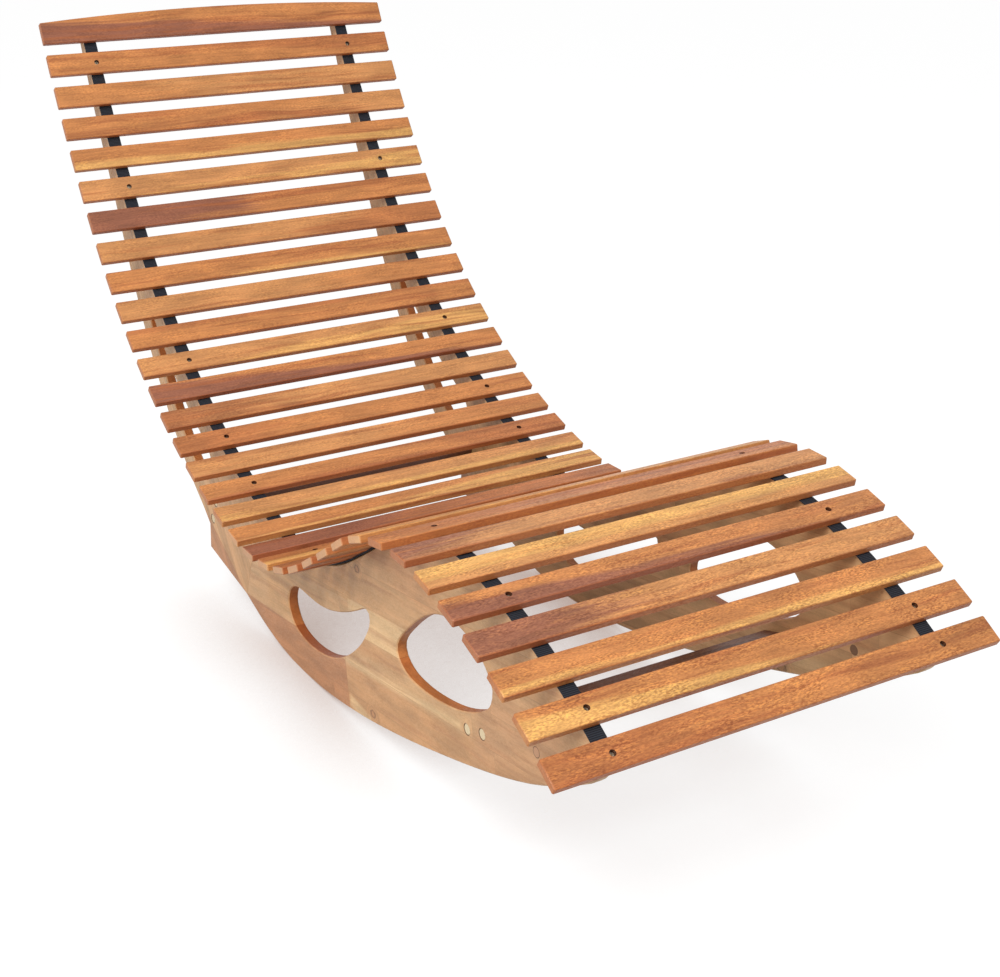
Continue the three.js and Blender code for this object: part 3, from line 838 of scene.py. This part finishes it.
crescent_box = ((0.131, 0.091), 6.5, (0.140, 0.047), 0.002)
oval_box = ((0.450, 0.137), 7.0, (0.122, 0.059), 0.002)
leaf_box = ((-0.469, -0.171), 16.0, (0.153, 0.038), 0.002)
base_panel = {"climb": math.radians(9.0), "cut_outs": (crescent_box, oval_box)}
back_panel = {
    "climb": math.radians(-52.7),
    "cut_outs": (leaf_box,),
    "known_staves": (heel_stave,),
    "knots": (),
}
panel_choices = {
    "base_panel_right": {
        **base_panel,
        "seed": 1.3,
        "start": (0.172, 0.060),
        "known_staves": near_base_staves,
        "knots": (((0.2394, 0.1987), 0.0042), ((0.2438, 0.0034), 0.0042)),
    },
    "base_panel_left": {
        **base_panel,
        "seed": 8.1,
        "start": (0.310, 0.041),
        "known_staves": far_base_staves,
        "knots": (((0.520, 0.030), 0.006),),
    },
    "back_panel_right": {**back_panel, "seed": 4.6, "start": (0.050, 0.020)},
    "back_panel_left": {**back_panel, "seed": 12.4, "start": (0.210, 0.003)},
}
print("Known staves on the nearer base panel:", len(near_base_staves))

# %% [markdown]
# A screw cap or a plug shows as a pale round with a thin dark ring about it, which is painted shade of
# the gap round it. The caps' places are read from the imported model, so the rings always lie where the
# caps are.

# %% Make the side panels
panel_ease = 0.8 * millimetre
nose_plug_width = 12 * millimetre
nose_place = (-634.4 * millimetre, 194.0 * millimetre)


def rounds_on(node, climb):
    """The middles, along and across the staves, and the radii of the caps and plugs in a panel's face."""
    along, across = panel_directions(climb)
    side = node.rsplit("_", 1)[1]
    found = [(Vector((0, *nose_place)), nose_plug_width / 2)]
    for cap in sorted(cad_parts):
        if cap.startswith("screw_cap_") and f"_{side}_" in cap:
            low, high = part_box(cap)
            found.append(((low + high) / 2, (high.z - low.z) / 2))
    return [((point.dot(along), point.dot(across)), radius) for point, radius in found]


for node, choices in panel_choices.items():
    wood = panel_wood(f"Wood of {node}", rounds_on(node, choices["climb"]), **choices)
    panel = dressed_in(eased(node, f"oiled_{node}", panel_ease), wood)
    finished(panel, node)
    print(node, "has", len(panel.data.polygons), "faces")

# %% [markdown]
# ## The stretchers
# Two dark rails tie the sides together, one under the back and one under the foot. They are one board
# each, of plain dark wood, and the slats hide most of them.

# %% Make the stretchers
stretcher_ease = 1.2 * millimetre
stretcher_brown = colour(124, 82, 60)
stretcher_streak = colour(92, 58, 42)
first_stretcher_seed = 20.0

for number, node in enumerate(("stretcher_rear", "stretcher_front")):
    centre, outward = lie_of(node)
    across = outward.cross(sideways)
    material, tree, place, facing = start_material(f"Wood of {node}", centre, sideways, across)
    wood = use_group(tree, oiled_wood, {
        "Place": place,
        "Seed": first_stretcher_seed + number,
        "Wood": stretcher_brown,
        "Second wood": stretcher_brown,
        "Streak wood": stretcher_streak,
        "Streaks": 0.8,
        "Flecks and glints": 0.4,
    })
    end_material(tree, wood["Colour"], wood["Roughness"], wood["Height"], 0.2 * millimetre)
    rail = dressed_in(eased(node, f"oiled_{node}", stretcher_ease), material)
    finished(rail, node)
print("Stretchers made")

# %% [markdown]
# ## The woven straps
# A strap of black webbing runs down each side, between the panel's edge and the slats. Webbing is woven
# with thick threads across it, which show as fine ribs. The ribs have to follow the strap round its
# bends, so the copy of the strap gets a UV map of its own: across the strap, and along it, in metres.

# %% Measure along the straps
clear_of_thickness = 2.2 * millimetre


def line_of_strap(mesh):
    """The strap's line from the head down: one point for the corners that lie close together."""
    points = sorted(((vertex.co.y, vertex.co.z) for vertex in mesh.vertices), reverse=True)
    line = [points[0]]
    for point in points[1:]:
        if math.dist(point, line[-1]) > clear_of_thickness:
            line.append(point)
    return line


strap_nodes = ("webbing_right", "webbing_left")
line = line_of_strap(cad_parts["webbing_right"].data)
steps = [math.dist(before, after) for before, after in zip(line, line[1:])]
lengths = [sum(steps[:count]) for count in range(len(line))]


def length_at(point):
    """How far down the strap a point lies."""
    nearest = min(range(len(line)), key=lambda index: math.dist(line[index], (point.y, point.z)))
    return lengths[nearest]


def map_strap(mesh):
    """Adds a UV map: metres across the strap, and metres along it."""
    layer = mesh.uv_layers.new(name="Across and along")
    middle = sum(vertex.co.x for vertex in mesh.vertices) / len(mesh.vertices)
    for corner in mesh.loops:
        co = mesh.vertices[corner.vertex_index].co
        layer.data[corner.index].uv = (co.x - middle, length_at(co))


print("The strap is", round(lengths[-1], 3), "m long")

# %% [markdown]
# The weave is two waves. One runs along the strap and gives the ribs, and one runs across it and gives
# the threads, shifted by half a thread in every other rib, as in real webbing. Their product is the
# relief, and it also paints the colour: painted shade between the threads and a painted highlight on
# their tops. The web is matt, so its roughness is high and its highlight weak.

# %% Make the straps
rib_pitch = 2.4 * millimetre
thread_pitch = 1.25 * millimetre
strap_ease = 0.3 * millimetre
thread_shadow = colour(12, 13, 17)
thread_top_highlight = colour(60, 64, 74)

webbing_weave, given, result = new_group(
    "Webbing weave",
    {
        "Across and along": "vector",
        "Rib pitch": rib_pitch,
        "Thread pitch": thread_pitch,
    },
    {"Rib": "value", "Thread": "value"},
)
tree = webbing_weave
across_along = parts_of(tree, given["Across and along"])
turns_along = sum_of(tree, "DIVIDE", across_along["Y"], given["Rib pitch"])
every_other = sum_of(tree, "MULTIPLY", sum_of(tree, "MODULO", sum_of(tree, "FLOOR", turns_along), 2.0), 0.5)
straight_across = sum_of(tree, "DIVIDE", across_along["X"], given["Thread pitch"])
turns_across = sum_of(tree, "ADD", straight_across, every_other)
wave_along = sum_of(tree, "SINE", sum_of(tree, "MULTIPLY", turns_along, math.pi))
wave_across = sum_of(tree, "SINE", sum_of(tree, "MULTIPLY", turns_across, math.tau))
tree.links.new(sum_of(tree, "ABSOLUTE", wave_along), result["Rib"])
tree.links.new(sum_of(tree, "MULTIPLY_ADD", wave_across, 0.5, 0.5), result["Thread"])

webbing = bpy.data.materials.new("Black webbing")
tree = blank_tree(webbing)
measured = add(tree, "ShaderNodeUVMap", uv_map="Across and along").outputs["UV"]
weave = use_group(tree, webbing_weave, {"Across and along": measured})
woven = sum_of(tree, "MULTIPLY", weave["Rib"], sum_of(tree, "MULTIPLY_ADD", weave["Thread"], 0.7, 0.3))
# Painted shade and highlight: dark between the threads, lighter on their tops.
black = mixed(tree, woven, thread_shadow, thread_top_highlight)
roughness = rise(tree, woven, 0.0, 1.0, 0.9, 0.65)
end_material(tree, black, roughness, woven, 0.3 * millimetre, relief=0.8, highlight=0.25)

for node in strap_nodes:
    strap = dressed_in(eased(node, f"woven_{node}", strap_ease), webbing)
    map_strap(strap.data)
    finished(strap, node)
print("Straps made:", len(strap_nodes))

# %% [markdown]
# ## Screws, caps and plugs by Geometry Nodes
# Small fittings repeat, so each is made once by a node tree and set on points. A point is a bare vertex
# that also carries the direction out of the wood. The tree turns each fitting that way, gives it a
# twist of its own, makes the copies real and gives them their material.

# %% Define the helpers for fittings
outward_name = "out of the wood"
twist_seed = 7


def new_fitting_tree(name, sizes):
    """An empty Geometry Nodes tree with a mesh going in, a mesh coming out and named sizes."""
    tree = bpy.data.node_groups.new(name, "GeometryNodeTree")
    tree.interface.new_socket("Geometry", in_out="INPUT", socket_type="NodeSocketGeometry")
    for size in sizes:
        tree.interface.new_socket(size, in_out="INPUT", socket_type="NodeSocketFloat")
    tree.interface.new_socket("Geometry", in_out="OUTPUT", socket_type="NodeSocketGeometry")
    inside = tree.nodes.new("NodeGroupInput").outputs
    result = tree.nodes.new("NodeGroupOutput").inputs
    return tree, inside, result


def set_on_points(tree, inside, result, fitting, material):
    """Puts a fitting on every point, turned out of the wood and twisted at random."""
    outward = add(tree, "GeometryNodeInputNamedAttribute", {"Name": outward_name}, data_type="FLOAT_VECTOR")
    facing = add(tree, "FunctionNodeAlignRotationToVector", {
        "Vector": outward.outputs["Attribute"],
    }, axis="Z")
    least, most, drawn = 2, 3, 1
    turns = {least: 0.0, most: math.tau, "Seed": twist_seed}
    twist = add(tree, "FunctionNodeRandomValue", turns, data_type="FLOAT").outputs[drawn]
    spin = add(tree, "FunctionNodeAxisAngleToRotation", {"Axis": (0.0, 0.0, 1.0), "Angle": twist})
    turned = add(tree, "FunctionNodeRotateRotation", {
        "Rotation": facing.outputs["Rotation"], "Rotate By": spin.outputs["Rotation"],
    }, rotation_space="LOCAL")
    copies = add(tree, "GeometryNodeInstanceOnPoints", {
        "Points": inside["Geometry"], "Instance": fitting, "Rotation": turned.outputs["Rotation"],
    })
    real = add(tree, "GeometryNodeRealizeInstances", {"Geometry": copies.outputs["Instances"]})
    coated = add(tree, "GeometryNodeSetMaterial", {
        "Geometry": real.outputs["Geometry"], "Material": material,
    })
    tree.links.new(coated.outputs["Geometry"], result["Geometry"])


def moved_out(tree, mesh, height):
    """Moves a mesh out of the wood, or into it where the height is below zero."""
    move = add(tree, "ShaderNodeCombineXYZ", {"Z": height}).outputs["Vector"]
    return add(tree, "GeometryNodeTransform", {"Geometry": mesh, "Translation": move}).outputs["Geometry"]


def fittings(label, tree, sizes, places):
    """A plain mesh of one fitting for each (point, direction) pair."""
    mesh = bpy.data.meshes.new(label)
    mesh.from_pydata([point for point, direction in places], [], [])
    directions = mesh.attributes.new(outward_name, "FLOAT_VECTOR", "POINT")
    for index, (point, direction) in enumerate(places):
        directions.data[index].vector = direction
    piece = bpy.data.objects.new(label, mesh)
    bpy.context.scene.collection.objects.link(piece)
    modifier = piece.modifiers.new("Fittings", "NODES")
    modifier.node_group = tree
    for item in tree.interface.items_tree:
        if item.in_out == "INPUT" and item.name in sizes:
            modifier[item.identifier] = sizes[item.name]
    return made_plain(piece)


print("Fitting helpers ready")

# %% [markdown]
# ## The screws' steel
# The screws are plain steel that has stood outdoors, so it is still metal but has dull brown spots. A
# fine noise gives the brushed gloss, and a coarser one the spots.

# %% Make the screw steel
clean_steel = colour(196, 182, 160)
dull_steel = colour(128, 112, 92)

steel = bpy.data.materials.new("Screw steel")
tree = blank_tree(steel)
place = add(tree, "ShaderNodeTexCoord").outputs["Object"]
brushed = add(tree, "ShaderNodeTexNoise", {"Vector": place, "Scale": 900.0, "Detail": 3.0}).outputs["Fac"]
spots = add(tree, "ShaderNodeTexNoise", {"Vector": place, "Scale": 260.0, "Detail": 2.0}).outputs["Fac"]
metal = mixed(tree, rise(tree, spots, 0.45, 0.75), clean_steel, dull_steel)
roughness = rise(tree, brushed, 0.3, 0.7, 0.28, 0.45)
end_material(tree, metal, roughness, brushed, 0.1 * millimetre, relief=0.3, highlight=0.5, metallic=0.9)
print("Screw steel made")

# %% [markdown]
# ## The slat screws
# Ten of the slats are screwed through the straps into the panels, one screw at each side. The head
# lies deep in its hole, so only a small bright disc with a cross in it shows. The head is a cone with
# two crossed bars cut out of it, and the shank below it is hidden in the wood.

# %% Build the screw
screw_sizes = {
    "Head width": 6.4 * millimetre,
    "Head depth": 2.0 * millimetre,
    "Shank width": 3.8 * millimetre,
    "Shank length": 16 * millimetre,
    "Cross width": 1.0 * millimetre,
    "Cross depth": 1.3 * millimetre,
}
cross_reach = 0.62

screw_tree, inside, result = new_fitting_tree("Countersunk screw", screw_sizes)
tree = screw_tree
head_radius = sum_of(tree, "MULTIPLY", inside["Head width"], 0.5)
shank_radius = sum_of(tree, "MULTIPLY", inside["Shank width"], 0.5)
head = add(tree, "GeometryNodeMeshCone", {
    "Vertices": 24, "Radius Top": head_radius, "Radius Bottom": shank_radius, "Depth": inside["Head depth"],
})
foot_of_head = sum_of(tree, "MULTIPLY", inside["Head depth"], -1.0)
low_head = moved_out(tree, head.outputs["Mesh"], foot_of_head)
recessed = add(tree, "GeometryNodeMeshBoolean", {"Mesh 1": low_head}, operation="DIFFERENCE")
deep = sum_of(tree, "MULTIPLY", inside["Cross depth"], 2.0)
wide = sum_of(tree, "MULTIPLY", inside["Head width"], cross_reach)
narrow = inside["Cross width"]
for bar_size in ({"X": wide, "Y": narrow, "Z": deep}, {"X": narrow, "Y": wide, "Z": deep}):
    size = add(tree, "ShaderNodeCombineXYZ", bar_size).outputs["Vector"]
    bar = add(tree, "GeometryNodeMeshCube", {"Size": size})
    tree.links.new(bar.outputs["Mesh"], recessed.inputs["Mesh 2"])
shank = add(tree, "GeometryNodeMeshCylinder", {
    "Vertices": 12, "Radius": shank_radius, "Depth": inside["Shank length"],
})
middle_of_shank = sum_of(tree, "MULTIPLY_ADD", inside["Shank length"], -0.5, foot_of_head)
low_shank = moved_out(tree, shank.outputs["Mesh"], middle_of_shank)
screw = add(tree, "GeometryNodeJoinGeometry")
tree.links.new(recessed.outputs["Mesh"], screw.inputs["Geometry"])
tree.links.new(low_shank, screw.inputs["Geometry"])
set_on_points(tree, inside, result, screw.outputs["Geometry"], steel)
print("Screw tree has", len(tree.nodes), "nodes")

# %% [markdown]
# Each screw stands on the line of its strap, sunk below the slat's broad face and turned to look out of
# it. All twenty are one piece, because they are the smallest things on the chaise and all alike.

# %% Set the slat screws
head_below_face = 4.4 * millimetre
half_thickness = slat_half[2]
screw_places = []
for number in screwed_slats:
    centre, outward = lie_of(f"slat_{number:02d}")
    for side in (-1, 1):
        point = centre + outward * (half_thickness - head_below_face) + sideways * side * strap_line
        screw_places.append((point, outward))
slat_screws = fittings("slat_screws", screw_tree, screw_sizes, screw_places)
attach(slat_screws, "root")
print("Slat screws made:", len(screw_places))

# %% [markdown]
# ## The caps over the frame screws
# Two screws hold each end of a stretcher, and a pale wooden cap hides each of them in the panel's outer
# face. A cap is a short cylinder with a chamfered rim, made by extruding the cylinder's top and drawing
# it in. Each cap takes the place of its CAD node.

# %% Write the plugs' tree
def plug_tree_of(name, material):
    """A tree that sets a round wooden plug with a chamfered rim on every point."""
    tree, inside, result = new_fitting_tree(name, ("Width", "Thickness", "Chamfer"))
    radius = sum_of(tree, "MULTIPLY", inside["Width"], 0.5)
    straight = sum_of(tree, "SUBTRACT", inside["Thickness"], inside["Chamfer"])
    disc = add(tree, "GeometryNodeMeshCylinder", {"Vertices": 40, "Radius": radius, "Depth": straight})
    raised = add(tree, "GeometryNodeExtrudeMesh", {
        "Mesh": disc.outputs["Mesh"], "Selection": disc.outputs["Top"], "Offset Scale": inside["Chamfer"],
    })
    drawn_in = sum_of(tree, "SUBTRACT", radius, inside["Chamfer"])
    rim = add(tree, "GeometryNodeScaleElements", {
        "Geometry": raised.outputs["Mesh"],
        "Selection": raised.outputs["Top"],
        "Scale": sum_of(tree, "DIVIDE", drawn_in, radius),
    })
    chamfer_down = sum_of(tree, "MULTIPLY", inside["Chamfer"], -1.0)
    top_down = sum_of(tree, "MULTIPLY_ADD", straight, -0.5, chamfer_down)
    set_down = moved_out(tree, rim.outputs["Geometry"], top_down)
    set_on_points(tree, inside, result, set_down, material)
    return tree


print("Plugs can be shaped")

# %% [markdown]
# A plug is cut across the grain, so its face shows growth rings and the ends of the pores. The rings are
# a wave that a noise disturbs, and the pores are fine specks, which also make the relief.

# %% Build the plugs' end grain
plug_grain, given, result = new_group(
    "Plug end grain",
    {"Place": "vector", "Pale wood": "colour", "Dark wood": "colour"},
    {"Colour": "colour", "Roughness": "value", "Height": "value"},
)
tree = plug_grain
rings = add(tree, "ShaderNodeTexWave", {
    "Vector": given["Place"], "Scale": 260.0, "Distortion": 3.0, "Detail": 2.0,
}, wave_type="BANDS", bands_direction="Y").outputs["Fac"]
specks = add(tree, "ShaderNodeTexNoise", {
    "Vector": given["Place"], "Scale": 1400.0, "Detail": 2.0,
}).outputs["Fac"]
spotted = sum_of(tree, "MULTIPLY_ADD", rings, 0.35, rise(tree, specks, 0.5, 0.75, 0.0, 0.4))
tree.links.new(mixed(tree, spotted, given["Pale wood"], given["Dark wood"]), result["Colour"])
tree.links.new(rise(tree, specks, 0.3, 0.7, 0.6, 0.5), result["Roughness"])
tree.links.new(specks, result["Height"])


def plug_wood(name, pale, dark):
    """The material of a small plug, between a pale and a dark tone of its wood."""
    along, across = Vector((0, 1, 0)), Vector((0, 0, 1))
    material, tree, place, facing = start_material(name, (0.0, 0.0, 0.0), along, across)
    wood = use_group(tree, plug_grain, {"Place": place, "Pale wood": pale, "Dark wood": dark})
    end_material(tree, wood["Colour"], wood["Roughness"], wood["Height"], 0.05 * millimetre)
    return material


print("Plug grain has", len(plug_grain.nodes), "nodes")

# %% [markdown]
# The caps' outer faces are flush with the CAD caps' faces, and they look out to their own side.

# %% Make the caps
cap_sizes = {"Width": 14 * millimetre, "Thickness": 3 * millimetre, "Chamfer": 0.7 * millimetre}
cap_wood = plug_wood("Cap wood", colour(240, 222, 184), colour(196, 158, 112))
cap_tree = plug_tree_of("Screw cap", cap_wood)
cap_nodes = [node for node in sorted(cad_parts) if node.startswith("screw_cap_")]
for node in cap_nodes:
    low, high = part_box(node)
    outward_side = sideways if low.x > 0 else -sideways
    face = high if low.x > 0 else low
    point = Vector((face.x, (low.y + high.y) / 2, (low.z + high.z) / 2))
    cap = fittings(f"wooden_{node}", cap_tree, cap_sizes, [(point, outward_side)])
    finished(cap, node)
print("Caps made:", len(cap_nodes))

# %% [markdown]
# The frame screws themselves are hidden under their caps. They keep the CAD shape and only get the steel.

# %% Finish the frame screws
frame_screws = [piece for node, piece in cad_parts.items() if node.startswith("frame_screw_")]
for piece in frame_screws:
    dressed_in(piece, steel)
print("Frame screws finished:", len(frame_screws))

# %% [markdown]
# ## The plug near the nose
# One small plug shows near the nose of each base panel, where a knot or a hole was filled. It is flush
# with the face but for the thickness of a sheet of paper, and the panel round its rim is darker with
# painted shade of the gap.

# %% Make the nose plugs
plug_proud = 0.25 * millimetre
nose_plug_sizes = {"Width": nose_plug_width, "Thickness": 3 * millimetre, "Chamfer": 0.5 * millimetre}
nose_wood = plug_wood("Nose plug wood", colour(208, 160, 124), colour(160, 110, 78))
nose_tree = plug_tree_of("Nose plug", nose_wood)
nose_points = []
for side, node in ((-1, "base_panel_right"), (1, "base_panel_left")):
    low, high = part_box(node)
    face_x = (low.x if side < 0 else high.x) + side * plug_proud
    nose_points.append((Vector((face_x, *nose_place)), sideways * side))
nose_plugs = fittings("nose_plugs", nose_tree, nose_plug_sizes, nose_points)
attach(nose_plugs, "root")
print("Nose plugs made:", len(nose_points))

# %% [markdown]
# ## The floor
# The picture has a white background with only a soft shadow on it. A large pale floor takes that shadow.
# The picture's floor is darkest right under the chaise, so the floor's own light is dimmed by Ambient
# Occlusion, which says how open a place is to the sky. The light that bounces off the floor comes from a
# plain grey, so that the underside isn't lit too much. From below the floor is clear, so that a view from
# there still shows the slats' back.

# %% Lay the floor
def seen_directly(tree):
    """One where a surface is seen, straight or in a reflection, and zero where it only lights others."""
    rays = add(tree, "ShaderNodeLightPath").outputs
    mirrored = sum_of(tree, "MAXIMUM", rays["Is Glossy Ray"], rays["Is Transmission Ray"])
    return sum_of(tree, "MAXIMUM", rays["Is Camera Ray"], mirrored)


floor_size = 30.0
shade_reach = 0.3
open_enough = 0.92
shade_brown = (0.316, 0.173, 0.113, 1.0)
own_light = 0.88
lamp_lit_grey = grey(0.22)
bouncing_grey = grey(0.5)

floor_mesh = bpy.data.meshes.new("floor")
half = floor_size / 2
corners = [(-half, -half, 0), (half, -half, 0), (half, half, 0), (-half, half, 0)]
floor_mesh.from_pydata(corners, [], [(0, 1, 2, 3)])
floor = bpy.data.objects.new("floor", floor_mesh)
bpy.context.scene.collection.objects.link(floor)

paper = bpy.data.materials.new("White paper")
tree = blank_tree(paper)
seen = seen_directly(tree)
openness = add(tree, "ShaderNodeAmbientOcclusion", {"Distance": shade_reach}, samples=16).outputs["AO"]
shade = mixed(tree, rise(tree, openness, 0.0, open_enough), shade_brown, grey(1.0))
shown = add(tree, "ShaderNodeBsdfDiffuse", {"Color": lamp_lit_grey})
lift = add(tree, "ShaderNodeEmission", {"Color": shade, "Strength": own_light})
shown_and_lifted = add(tree, "ShaderNodeAddShader", {0: shown.outputs[0], 1: lift.outputs[0]})
bouncing = add(tree, "ShaderNodeBsdfDiffuse", {"Color": bouncing_grey})
sheet = add(tree, "ShaderNodeMixShader", {0: seen, 1: bouncing.outputs[0], 2: shown_and_lifted.outputs[0]})
underside = add(tree, "ShaderNodeNewGeometry").outputs["Backfacing"]
nothing = add(tree, "ShaderNodeBsdfTransparent")
one_way = add(tree, "ShaderNodeMixShader", {0: underside, 1: sheet.outputs[0], 2: nothing.outputs[0]})
add(tree, "ShaderNodeOutputMaterial", {"Surface": one_way.outputs[0]})
floor_mesh.materials.append(paper)
print("Floor laid,", floor_size, "m square")

# %% [markdown]
# ## The light
# A bright, even sky and one very large soft lamp high on the camera's left light the chaise, so a colour
# shows about as it is written. To the camera the sky is plain white, which carries on behind the floor,
# while its strength as a light stays lower.

# %% Light the scene
sky_strength = 0.46
lamp_power = 250.0
lamp_size = 3.2
lamp_place = Vector((-3.2, -2.4, 4.2))
lamp_target = Vector((0.0, 0.0, 0.3))

world = bpy.data.worlds.new("Soft white sky")
bpy.context.scene.world = world
tree = blank_tree(world)
seen = seen_directly(tree)
sky = add(tree, "ShaderNodeBackground", {"Color": grey(1.0), "Strength": sky_strength})
backdrop = add(tree, "ShaderNodeBackground", {"Color": grey(1.0), "Strength": 1.0})
either = add(tree, "ShaderNodeMixShader", {0: seen, 1: sky.outputs[0], 2: backdrop.outputs[0]})
add(tree, "ShaderNodeOutputWorld", {"Surface": either.outputs[0]})

lamp_data = bpy.data.lights.new("soft lamp", "AREA")
lamp_data.energy = lamp_power
lamp_data.size = lamp_size
lamp = bpy.data.objects.new("soft lamp", lamp_data)
lamp.location = lamp_place
lamp.rotation_euler = (lamp_target - lamp_place).to_track_quat("-Z", "Y").to_euler()
bpy.context.scene.collection.objects.link(lamp)
bpy.context.scene.view_settings.view_transform = "Standard"
print("Lamp stands", round((lamp_place - lamp_target).length, 2), "m away")
